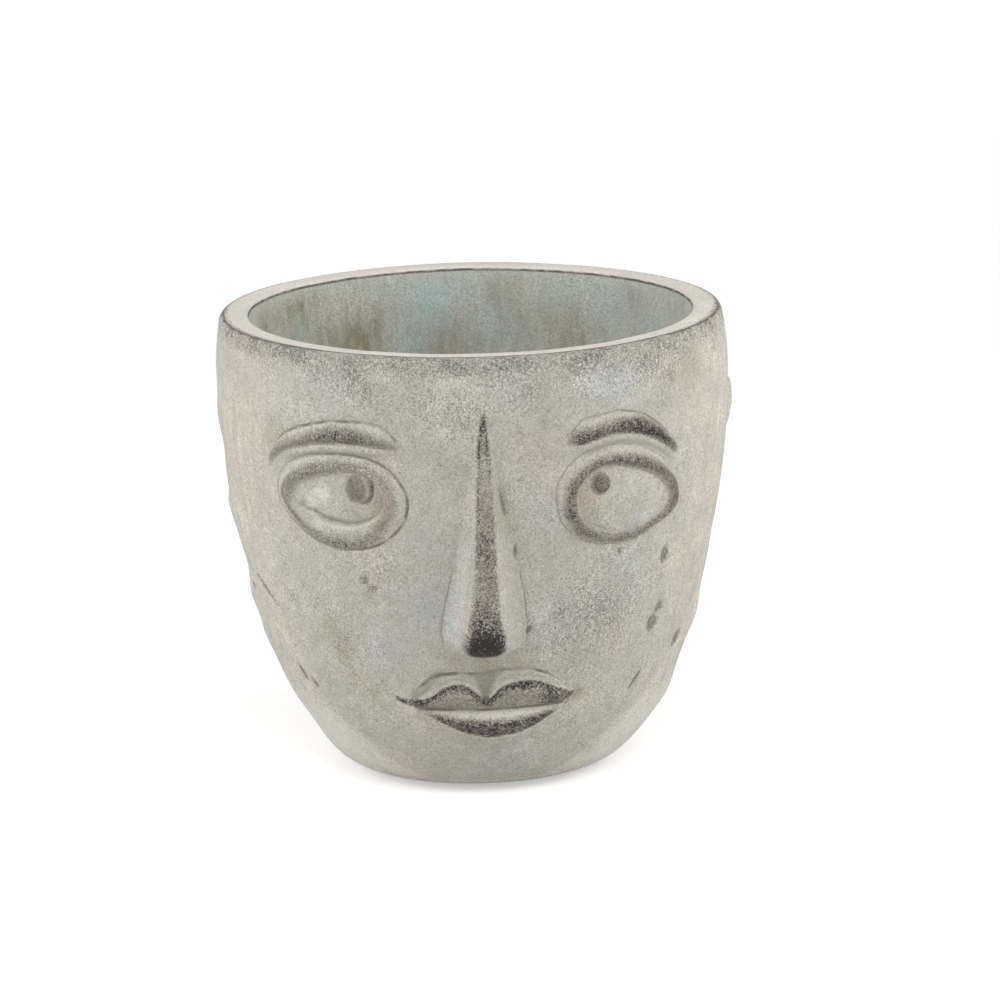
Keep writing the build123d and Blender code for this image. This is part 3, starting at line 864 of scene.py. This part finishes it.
def swells(relief):
    """Broad soft swells and hollows, each a bell over an oval."""
    for angle, height, half_width, half_height, rise in SWELLS:
        across = relief.across(angle) / (half_width * MM)
        up = (relief.height - height * MM) / (half_height * MM)
        relief.out += rise * MM * np.exp(-(across**2 + up**2))


def clouds(relief, tables):
    """Soft round clouds of each wash, each a bell round its middle."""
    for mask, table in tables.items():
        for angle, height, radius, strength in table:
            away = np.hypot(relief.across(angle), relief.height - height * MM) / (radius * MM)
            relief.lay(mask, strength * np.exp(-(away**2)))


def shores(relief):
    """Sides and foot painted lighter and warmer as painted side light, and the dark band under the
    rim.
    """
    turn = np.abs(relief.turn)
    sides = span(turn, 40, 72, 110, 160)
    shore = 5 * MM + 32 * MM * span(turn, 20, 58, 100, 165)
    foot = ease(shore, 0.45 * shore, relief.height)
    # Painted light: sides and foot painted lighter and warmer, as lit from the sides
    relief.lay("warm", np.maximum(sides, foot))
    relief.lay("pale", (0.6 + 0.35 * ease(28, 60, turn)) * foot)
    relief.lay("shade", 0.66 * ease(SHADE_FROM, SHADE_FULL, relief.height))


def waves(turn, height):
    """Hand-made unevenness from 0 to 1: a few slow sine waves round and up the pot."""
    t = np.radians(turn)
    z = height / 0.04
    total = np.sin(3 * t + 1.3 * z) + np.sin(5 * t - 2.1 * z + 1)
    total += 0.6 * np.sin(11 * t + 3.1 * z + 2)
    total += 0.5 * np.sin(17 * t - 4.3 * z) + 0.4 * np.sin(23 * t + 6 * z + 3)
    return np.clip(0.5 + total / 6, 0, 1)


def grid_mesh(name, points, loop):
    """Mesh over a grid of points (row, column), its columns joined round the axis.

    With loop, the last row is joined to the first one, as on a ring.
    """
    rows, columns = points.shape[:2]
    row = np.arange(rows if loop else rows - 1)[:, None]
    column = np.arange(columns)[None, :]
    right = (column + 1) % columns
    above = (row + 1) % rows
    corners = ((row, column), (row, right), (above, right), (above, column))
    quads = np.stack([r * columns + c for r, c in corners], -1).reshape(-1, 4)
    mesh = bpy.data.meshes.new(name)
    mesh.vertices.add(rows * columns)
    mesh.vertices.foreach_set("co", points.astype(np.float32).ravel())
    mesh.loops.add(quads.size)
    mesh.loops.foreach_set("vertex_index", quads.astype(np.int32).ravel())
    mesh.polygons.add(len(quads))
    mesh.polygons.foreach_set("loop_start", np.arange(0, quads.size, 4, dtype=np.int32))
    mesh.update(calc_edges=True)
    mesh.validate()
    mesh.shade_smooth()
    piece = bpy.data.objects.new(name, mesh)
    bpy.context.scene.collection.objects.link(piece)
    return piece


def attribute(piece, name, values):
    """Stores one number per vertex under a name that the finish reads."""
    layer = piece.data.attributes.new(name, "FLOAT", "POINT")
    layer.data.foreach_set("value", np.asarray(values, np.float32).ravel())


def turned(name, section, columns):
    """Surface of revolution of a (radius, height) section that starts and ends on the axis."""
    turn = np.linspace(0, 2 * np.pi, columns, endpoint=False)[None, :]
    radius, height = section[:, :1], section[:, 1:]
    points = np.stack([radius * np.sin(turn), -radius * np.cos(turn), height + 0 * turn], -1)
    piece = grid_mesh(name, points, loop=False)
    build = bmesh.new()
    build.from_mesh(piece.data)
    bmesh.ops.remove_doubles(build, verts=build.verts, dist=1e-7)
    build.to_mesh(piece.data)
    build.free()
    piece.data.shade_smooth()
    return piece


class Socket:
    """An output socket of a node; arithmetic on it adds Math nodes."""

    def __init__(self, nodes, source):
        self.nodes, self.source = nodes, source

    def __add__(self, other):
        return self.nodes.math("ADD", self, other)

    __radd__ = __add__

    def __sub__(self, other):
        return self.nodes.math("SUBTRACT", self, other)

    def __rsub__(self, other):
        return self.nodes.math("SUBTRACT", other, self)

    def __mul__(self, other):
        return self.nodes.math("MULTIPLY", self, other)

    __rmul__ = __mul__


class Nodes:
    """A node tree in the making."""

    def __init__(self, tree):
        self.tree = tree
        tree.nodes.clear()

    def node(self, kind, settings=(), sockets=(), output=0):
        """Adds a node: its settings first, then the values or links of its sockets."""
        made = self.tree.nodes.new(kind)
        for name, value in dict(settings).items():
            setattr(made, name, value)
        for name, value in dict(sockets).items():
            if isinstance(value, Socket):
                self.tree.links.new(value.source, made.inputs[name])
            else:
                made.inputs[name].default_value = value
        return Socket(self, made.outputs[output]) if made.outputs else made

    def math(self, operation, *values):
        """A Math node, such as arithmetic on a Socket adds."""
        return self.node("ShaderNodeMath", {"operation": operation}, dict(enumerate(values)))


class Finish(Nodes):
    """A material in the making, its patterns placed by Object coordinates."""

    def __init__(self, name):
        self.material = bpy.data.materials.new(name)
        self.material.use_nodes = True
        super().__init__(self.material.node_tree)
        self.where = self.node("ShaderNodeTexCoord", output="Object")

    def mix(self, share, first, second):
        """Mix of two colours; a plain colour is given as linear red, green and blue."""
        first, second = (c if isinstance(c, Socket) else (*c, 1) for c in (first, second))
        return self.node("ShaderNodeMix", {"data_type": "RGBA"}, {0: share, 6: first, 7: second}, 2)

    def scaled(self, colour, factor):
        """A colour made lighter or darker by a factor that varies over the surface."""
        inputs = {0: colour, "Scale": factor}
        return self.node("ShaderNodeVectorMath", {"operation": "SCALE"}, inputs)

    def clamped(self, value):
        """The value kept between 0 and 1."""
        return self.node("ShaderNodeClamp", {}, {"Value": value})

    def step(self, value, low, high):
        """0 where value is at low, 1 at high, smooth between."""
        return self.node(
            "ShaderNodeMapRange",
            {"interpolation_type": "SMOOTHSTEP"},
            {"Value": value, "From Min": low, "From Max": high},
        )

    def noise(self, size, detail=2, stretch=(1, 1, 1), shift=(0, 0, 0)):
        """Noise whose grains are about size metres, stretched along an axis by a share."""
        placing = {"Vector": self.where, "Scale": stretch, "Location": shift}
        where = self.node("ShaderNodeMapping", {}, placing)
        inputs = {"Vector": where, "Scale": 1 / size, "Detail": detail}
        return self.node("ShaderNodeTexNoise", {}, inputs)

    def reading(self, name):
        """The piece's own numbers stored under a name."""
        return self.node("ShaderNodeAttribute", {"attribute_name": name}, output="Fac")

    def close(self, base, roughness, height, depth):
        """Ends in one shader: colour, roughness and a bump of a given depth in metres."""
        bump = self.node("ShaderNodeBump", {}, {"Height": height, "Distance": depth, "Strength": 1})
        surface = {"Base Color": base, "Roughness": roughness, "Normal": bump}
        return self.output(self.node("ShaderNodeBsdfPrincipled", {}, surface))

    def output(self, shader):
        """Gives the material its shader."""
        self.node("ShaderNodeOutputMaterial", {}, {"Surface": shader})
        return self.material


def linear(screen):
    """Linear colour from screen values between 0 and 1."""
    return tuple(c / 12.92 if c <= 0.04045 else ((c + 0.055) / 1.055) ** 2.4 for c in screen)


def cement_finish(colours):
    """Cast cement: clouds of washes under a fine speckle, dark rub on the relief,
    wash left in the grooves, a lighter rim top and a stained inside, with painted
    side light, painted highlights and a painted shadow under the nose."""
    f = Finish("cement")
    tint = {name: linear(getattr(colours, name)) for name in colours.__annotations__}
    cloud = f.noise(34 * MM)
    haze = f.noise(15 * MM, shift=(3, 1, 2))
    streak = f.noise(3.6 * MM, stretch=(1, 1, 0.2))
    patch = f.noise(4.2 * MM, shift=(7, 2, 5))
    grain = f.noise(1.1 * MM, shift=(1, 6, 3))
    fine = f.noise(0.52 * MM, 1, shift=(5, 5, 1))

    wall = f.mix(f.step(cloud, 0.42, 0.6), tint["cement"], tint["cement_green"])
    wall = f.mix(f.step(haze, 0.48, 0.66) * 0.45, wall, tint["cement_pink"])
    # Painted side light: lighter and warmer sides and foot
    wall = f.mix(f.reading("warm") * (0.6 + haze * 0.5), wall, tint["cement_warm"])
    blue = f.reading("blue") * f.step(patch + haze, 0.78, 1.12)
    wall = f.mix(blue, wall, tint["cement_blue"])
    # Stain, and under the nose painted shadow
    wall = f.mix(f.reading("brown") * (0.3 + grain), wall, tint["cement_brown"])
    side_runs = f.step(streak, 0.5, 0.72) * (0.08 + f.reading("warm") * 0.22)
    wall = f.mix(side_runs, wall, tint["smear"])

    way = f.reading("rim_way")
    wobble = (patch - 0.5) * (1.6 * MM)
    runs = f.noise(3.4 * MM, stretch=(1, 1, 0.25), shift=(2, 4, 0))
    soak = f.step(runs + patch * 0.45, 0.6, 0.84)
    bluish = f.reading("blue")
    inner_wall = f.mix(bluish * (0.7 + patch * 0.6), tint["inside"], tint["inside_blue"])
    brown = f.reading("brown")
    soaked = (brown * 0.65 + soak * (0.2 + brown * 0.35)) * (1 - bluish * 0.8)
    inner_wall = f.mix(f.clamped(soaked), inner_wall, tint["inside_brown"])
    on_rim = f.step(way + wobble, RIM_TOP_FROM, RIM_TOP_FROM + 0.8 * MM)
    inside = f.step(way + wobble * 0.4, RIM_TOP_TO - 0.5 * MM, RIM_TOP_TO + 0.3 * MM)
    base = f.mix(on_rim, wall, tint["rim"])
    base = f.mix(inside, base, inner_wall)

    busy = f.step(cloud + haze + f.reading("shade") * 0.5, 0.9, 1.3)
    strength = 0.62 + busy * 0.4 - on_rim * 0.3 + inside * 0.2
    speckle = (fine - 0.5) * 1.5 + (grain - 0.5) * 0.8 + (patch - 0.5) * 0.5
    base = f.scaled(base, 1 + speckle * strength + (haze - 0.5) * 0.25 + (cloud - 0.5) * 0.2)

    # Painted highlights, the lighter foot as painted light, and paler cement
    pale = f.reading("pale")
    base = f.mix(f.clamped(pale * (1 + speckle * 1.4) - 0.12), base, tint["chalk"])
    smear = f.reading("smear")
    base = f.mix(smear * 0.9, base, tint["smear"])
    engrave = f.reading("engrave")
    edge = f.math("ABSOLUTE", f.reading("outline") + (patch - 0.5) * (0.7 * MM))
    fade = 0.35 + f.step(haze + patch, 0.8, 1.1) * 0.75
    line = f.clamped((engrave * (0.4 * MM) + 0.22 * MM - edge) * 3500) * engrave * fade * 0.9
    base = f.mix(line * (0.9 + speckle * 0.6), base, tint["groove"])
    base = f.mix(f.step(f.reading("dent") * (1 - speckle), 0.12, 0.8) * 0.85, base, tint["groove"])

    rub = f.reading("rub")
    rubbed = f.clamped(rub * 1.08 - 0.04 - speckle * (0.1 + rub * 1.35) * (1 - smear * 0.6))
    shade = f.reading("shade") * (0.3 + f.step(patch + haze * 0.6, 0.6, 1.0) * 0.8)
    soot = f.clamped(shade * 1.15 - 0.08 - speckle * (0.2 + shade * 1.8))
    base = f.mix(soot, base, tint["soot"])
    wear = f.step(patch + grain * 0.5, 0.55, 0.85)
    inner_line = 1 - f.step(f.math("ABSOLUTE", way - RIM_TOP_TO + wobble * 0.3), 0.2 * MM, 0.65 * MM)
    front_line = 1 - f.step(f.math("ABSOLUTE", way - RIM_TOP_FROM + wobble), 0.1 * MM, 0.8 * MM)
    base = f.mix(rubbed, base, f.mix(f.step(rubbed, 0.5, 1.0), tint["rub_thin"], tint["rub"]))
    thin = f.math("MAXIMUM", inner_line, front_line) * (0.72 + wear * 0.28)
    base = f.mix(thin, base, f.mix(wear * 0.4, tint["soot"], tint["rub_thin"]))

    roughness = 0.88 + (grain - 0.5) * 0.2 - rubbed * 0.1
    height = grain * 0.5 + fine * 0.35 + patch * 0.5 - line * 0.6
    return f.close(base, roughness, height, 0.4 * MM)


def rubber_finish(name, base_colour, dust_colour):
    """Moulded rubber: dust in the pores, scuffs and a fine grain."""
    f = Finish(name)
    grain = f.noise(0.6 * MM)
    dust = f.step(f.noise(3 * MM, 4, shift=(2, 2, 2)), 0.5, 0.75)
    scuff = f.step(f.noise(1.2 * MM, 3, stretch=(1, 0.2, 1), shift=(4, 1, 3)), 0.62, 0.8)
    base = f.mix(dust * 0.35, linear(base_colour), linear(dust_colour))
    base = f.mix(scuff * 0.25, base, linear(dust_colour))
    return f.close(base, 0.62 + dust * 0.2 + scuff * 0.1, grain * 0.5 + scuff * 0.2, 0.12 * MM)


def face_relief(turn, height, profile, face):
    """Relief of the outer wall: the face, the dents and swells, and the washes."""
    relief = Relief(turn, height, profile)
    eye(relief, face, -1, LEFT_EYE_SHARES, LEFT_PUPIL, line=1, crease=0.9, smooth=0.2)
    eye(relief, face, 1, RIGHT_EYE_SHARES, RIGHT_PUPIL, line=0.5, crease=0.25, smooth=0.6)
    brow(relief, face, -1, LEFT_BROW_SHARES, line=0.9)
    brow(relief, face, 1, RIGHT_BROW_SHARES, line=0.7)
    nose(relief, face)
    mouth(relief, face)
    ear(relief, face, -1, rises=(0.35, 0.4, 0.3))
    ear(relief, face, 1, rises=(1, 0.7, 0.3))
    dents(relief)
    swells(relief)
    clouds(relief, WALL_CLOUDS)
    shores(relief)
    relief.out -= LINE_DEPTH * relief.engrave * np.exp(-((relief.outline / LINE_HALF_WIDTH) ** 2))
    return relief


def rim_sag(turn, way):
    """How far the rim hangs: most at the front and some on the right.

    It eases out down the outer wall and down the lining; way is the length
    along the section from the top of the outer wall.
    """
    angle = np.radians(turn)
    low = FRONT_SAG * (0.5 + 0.5 * np.cos(angle)) ** 3 + RIGHT_SAG * np.clip(np.sin(angle), 0, 1)
    low = low + UNEVEN_SAG * (1 - waves(turn, 0.05))
    return low * span(way / MM, -20, 0, 12, 40)


class PLANTER_OT_shell(bpy.types.Operator):
    """Build the cast pot with its face"""

    bl_idname = "planter.shell"
    bl_label = "Pot shell"

    def execute(self, context):
        sizes, face = context.scene.planter_sizes, context.scene.planter_face
        profile = Profile(sizes)
        section = profile.rows()
        radius, height = section[:, :1], section[:, 1:]
        wall, lining = profile.wall, profile.lining
        turn = spread(-180, 180, SHELL_COLUMNS + 1, COLUMN_BASE, COLUMN_ZONES)[None, :-1]
        turns, heights = np.broadcast_arrays(turn, height)
        outside = face_relief(turns[wall], heights[wall], profile, face)
        inside = Relief(turns[lining], heights[lining], profile)
        clouds(inside, LINING_CLOUDS)

        steps = np.hypot(np.diff(radius, axis=0), np.diff(height, axis=0))
        way = np.concatenate([[[0]], np.cumsum(steps, axis=0)])
        way -= way[wall.stop - 1]
        out = np.zeros(turns.shape)
        out[wall] = outside.out
        # The waves ease in above the foot and end with the rounding of the rim
        wavy = ease(0, 30 * MM, height) * ease(-160 * MM, -140 * MM, way) * (way < 4 * MM)
        out -= sizes.unevenness * (1 - waves(turn, height)) * wavy
        angle = np.radians(turn)
        reach = radius + out
        level = SHELL_LOW.z + height - rim_sag(turn, way)
        points = np.stack([reach * np.sin(angle), -reach * np.cos(angle), level], -1)
        piece = grid_mesh("planter_shell", points, loop=True)

        # Each wash fades in under the foot, and goes on over the edge of the rim
        fade = ease(0.3 * sizes.foot_radius, sizes.foot_radius, radius[: wall.start])
        for name in MASKS:
            whole = np.zeros_like(out)
            whole[wall] = outside.masks[name]
            whole[: wall.start] = whole[wall.start] * fade
            whole[profile.edge] = whole[wall.stop - 1]
            whole[lining] = inside.masks[name]
            attribute(piece, name, whole)
        lines = (("engrave", outside.engrave, 0), ("outline", outside.outline, NO_LINE))
        for name, values, elsewhere in lines:
            whole = np.full_like(out, elsewhere)
            whole[wall] = values
            attribute(piece, name, whole)
        front = ease(75, 25, np.abs(turn)) * ease(10 * MM, 6 * MM, way)
        attribute(piece, "rim_way", way - RIM_TOP_SHIFT * front)
        piece.data.materials.append(cement_finish(context.scene.planter_colours))
        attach(piece, "pot")
        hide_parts("pot_shell")
        return {"FINISHED"}


def plug_section(head, stem, foot, floor, top):
    """Section of the plug, from the middle of its foot up to the middle of its head.

    The stem swells into two ribs that follow a raised cosine. The rim of the
    head is an arc, and the dimple a smooth step down with a fine ring round it.
    """
    tip = [(stem * share - inset * MM, foot + up * MM) for share, inset, up in STEM_TIP]
    ribs = RIB_RISE * (0.5 - 0.5 * np.cos(np.linspace(0, 4 * np.pi, RIB_ROWS)))
    up = np.linspace(foot + RIBS_FROM, floor - RIBS_SHORT, RIB_ROWS)
    shaft = np.stack([stem - STEM_NECK + ribs, up], 1)
    under = [(stem, floor + HEAD_GAP), (head - HEAD_LIP, floor + HEAD_GAP)]
    rounding = HEAD_ROUNDING_SHARE * (top - floor)
    rim = arc((head - rounding, top - rounding), rounding, -60, 90, HEAD_ROWS)
    share = np.linspace(0.8, 0, DIMPLE_ROWS)
    ring = np.exp(-(((share - 0.72) / 0.03) ** 2))
    level = top - DIMPLE_DEPTH * ease(0.62, 0.5, share) - RING_DEPTH * ring
    return np.concatenate([tip, shaft, under, rim, np.stack([head * share, level], 1)])


class PLANTER_OT_plug(bpy.types.Operator):
    """Build the rubber plug of the drain hole"""

    bl_idname = "planter.plug"
    bl_label = "Drain plug"

    def execute(self, context):
        sizes, colours = context.scene.planter_sizes, context.scene.planter_colours
        floor = SHELL_LOW.z + sizes.floor_thickness
        stem = sizes.drain_radius - STEM_PLAY
        section = plug_section(PLUG_HIGH.x, stem, PLUG_LOW.z, floor, PLUG_HIGH.z)
        piece = turned("planter_plug", section, PLUG_COLUMNS)
        piece.data.materials.append(rubber_finish("plug_rubber", colours.rubber, colours.cement))
        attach(piece, "plug")
        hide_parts("drain_plug")
        return {"FINISHED"}


class PLANTER_OT_pads(bpy.types.Operator):
    """Build the stick-on pads under the foot"""

    bl_idname = "planter.pads"
    bl_label = "Foot pads"

    def execute(self, context):
        colours = context.scene.planter_colours
        finish = rubber_finish("pad_rubber", colours.foam, colours.cement)
        for node in sorted(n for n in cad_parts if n.startswith("foot_pad")):
            low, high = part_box(node)
            radius, thick = (high.x - low.x) / 2, high.z - low.z
            up = np.linspace(-1, 1, 9)
            side = np.stack([radius - PAD_BULGE * up**2, low.z + thick * (0.5 + 0.4 * up)], 1)
            underside = np.linspace((0, low.z), (radius - PAD_BEVEL, low.z), 6)
            roof = np.linspace((PAD_TOP_SHARE * radius, high.z), (0, high.z), 6)
            section = np.concatenate([underside, side, roof])
            piece = turned("planter_" + node.replace("foot_", ""), section, PAD_COLUMNS)
            middle = (low + high) / 2
            piece.data.transform(Matrix.Translation((middle.x, middle.y, 0)))
            piece.data.materials.append(finish)
            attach(piece, "pot")
            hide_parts(node)
        return {"FINISHED"}


def softbox(name, place, width, height, power):
    """Rectangular soft light at a place, facing the pot."""
    lamp = bpy.data.lights.new(name, "AREA")
    lamp.shape = "RECTANGLE"
    lamp.size, lamp.size_y = width, height
    lamp.energy = power
    light = bpy.data.objects.new(name, lamp)
    bpy.context.scene.collection.objects.link(light)
    light.location = place
    light.visible_camera = False
    light.rotation_euler = (Vector(LIGHT_AIM) - Vector(place)).to_track_quat("-Z", "Y").to_euler()


def view(settings):
    """Camera at a turn, a rise and a distance from its aim, rolled about its own axis."""
    turn, rise = settings.view_turn, settings.view_rise
    level = math.cos(rise)
    back = Vector((math.sin(turn) * level, -math.cos(turn) * level, math.sin(rise)))
    right = Vector((math.cos(turn), math.sin(turn), 0))
    axes = Matrix((right, back.cross(right), back)).transposed().to_4x4()
    aim = Vector((settings.aim_side, 0, settings.aim_height))
    place = Matrix.Translation(aim + back * settings.view_distance)
    data = bpy.data.cameras.new("view")
    data.lens, data.sensor_width = settings.lens, SENSOR_WIDTH
    camera = bpy.data.objects.new("view", data)
    bpy.context.scene.collection.objects.link(camera)
    bpy.context.scene.camera = camera
    camera.matrix_world = place @ axes @ Matrix.Rotation(-settings.view_roll, 4, "Z")


def sky(settings):
    """White world: 1 where the camera sees it, also in or through a surface, and ambient
    as the light that falls on the pot."""
    world = bpy.data.worlds.new("studio")
    world.use_nodes = True
    bpy.context.scene.world = world
    n = Nodes(world.node_tree)
    rays = ("Is Camera Ray", "Is Glossy Ray", "Is Transmission Ray")
    camera, glossy, through = (n.node("ShaderNodeLightPath", output=ray) for ray in rays)
    seen = n.math("MAXIMUM", n.math("MAXIMUM", camera, glossy), through)
    strength = settings.ambient + seen * (1 - settings.ambient)
    shine = n.node("ShaderNodeBackground", {}, {"Color": WHITE, "Strength": strength})
    n.node("ShaderNodeOutputWorld", {}, {"Surface": shine})


def white_floor(settings):
    """White floor, which glows a little where the camera sees it."""
    floor = bpy.data.meshes.new("floor")
    r = FLOOR_REACH
    floor.from_pydata([(-r, -r, 0), (r, -r, 0), (r, r, 0), (-r, r, 0)], [], [(0, 1, 2, 3)])
    f = Finish("floor")
    diffuse = f.node("ShaderNodeBsdfDiffuse", {}, {"Color": FLOOR_WHITE})
    seen = f.node("ShaderNodeLightPath", output="Is Camera Ray")
    away = f.node("ShaderNodeVectorMath", {"operation": "LENGTH"}, {0: f.where}, output="Value")
    far = f.step(away, GLOW_FROM, GLOW_FULL)
    strength = seen * (settings.floor_glow + far * settings.far_glow)
    glow = f.node("ShaderNodeEmission", {}, {"Color": WHITE, "Strength": strength})
    floor.materials.append(f.output(f.node("ShaderNodeAddShader", {}, {0: diffuse, 1: glow})))
    piece = bpy.data.objects.new("floor", floor)
    bpy.context.scene.collection.objects.link(piece)
    return piece


class PLANTER_OT_stage(bpy.types.Operator):
    """Set up the floor, the light and the camera"""

    bl_idname = "planter.stage"
    bl_label = "Stage"

    def execute(self, context):
        settings = context.scene.planter_stage
        view(settings)
        sky(settings)
        ground = white_floor(settings)
        for name, place, width, height, power in SOFTBOXES:
            softbox(name, place, width, height, getattr(settings, power))
        context.scene.view_settings.view_transform = "Standard"
        return {"FINISHED"}


class PLANTER_PT_panel(bpy.types.Panel):
    """Lists the planter's pieces in the sidebar"""

    bl_idname = "PLANTER_PT_panel"
    bl_label = "Planter"
    bl_space_type = "VIEW_3D"
    bl_region_type = "UI"
    bl_category = "Planter"

    def draw(self, context):
        for operator in OPERATORS:
            self.layout.operator(operator.bl_idname)


OPERATORS = (PLANTER_OT_stage, PLANTER_OT_shell, PLANTER_OT_plug, PLANTER_OT_pads)
GROUPS = {
    "planter_sizes": PlanterSizes,
    "planter_face": FaceSizes,
    "planter_colours": PlanterColours,
    "planter_stage": StageSettings,
}


def register():
    for group in GROUPS.values():
        bpy.utils.register_class(group)
    for name, group in GROUPS.items():
        setattr(bpy.types.Scene, name, PointerProperty(type=group))
    for operator in OPERATORS:
        bpy.utils.register_class(operator)
    bpy.utils.register_class(PLANTER_PT_panel)


def unregister():
    bpy.utils.unregister_class(PLANTER_PT_panel)
    for operator in reversed(OPERATORS):
        bpy.utils.unregister_class(operator)
    for name, group in reversed(GROUPS.items()):
        delattr(bpy.types.Scene, name)
        bpy.utils.unregister_class(group)


def main():
    register()
    bpy.ops.planter.stage()
    bpy.ops.planter.shell()
    bpy.ops.planter.plug()
    bpy.ops.planter.pads()


if __name__ == "__main__":
    main()
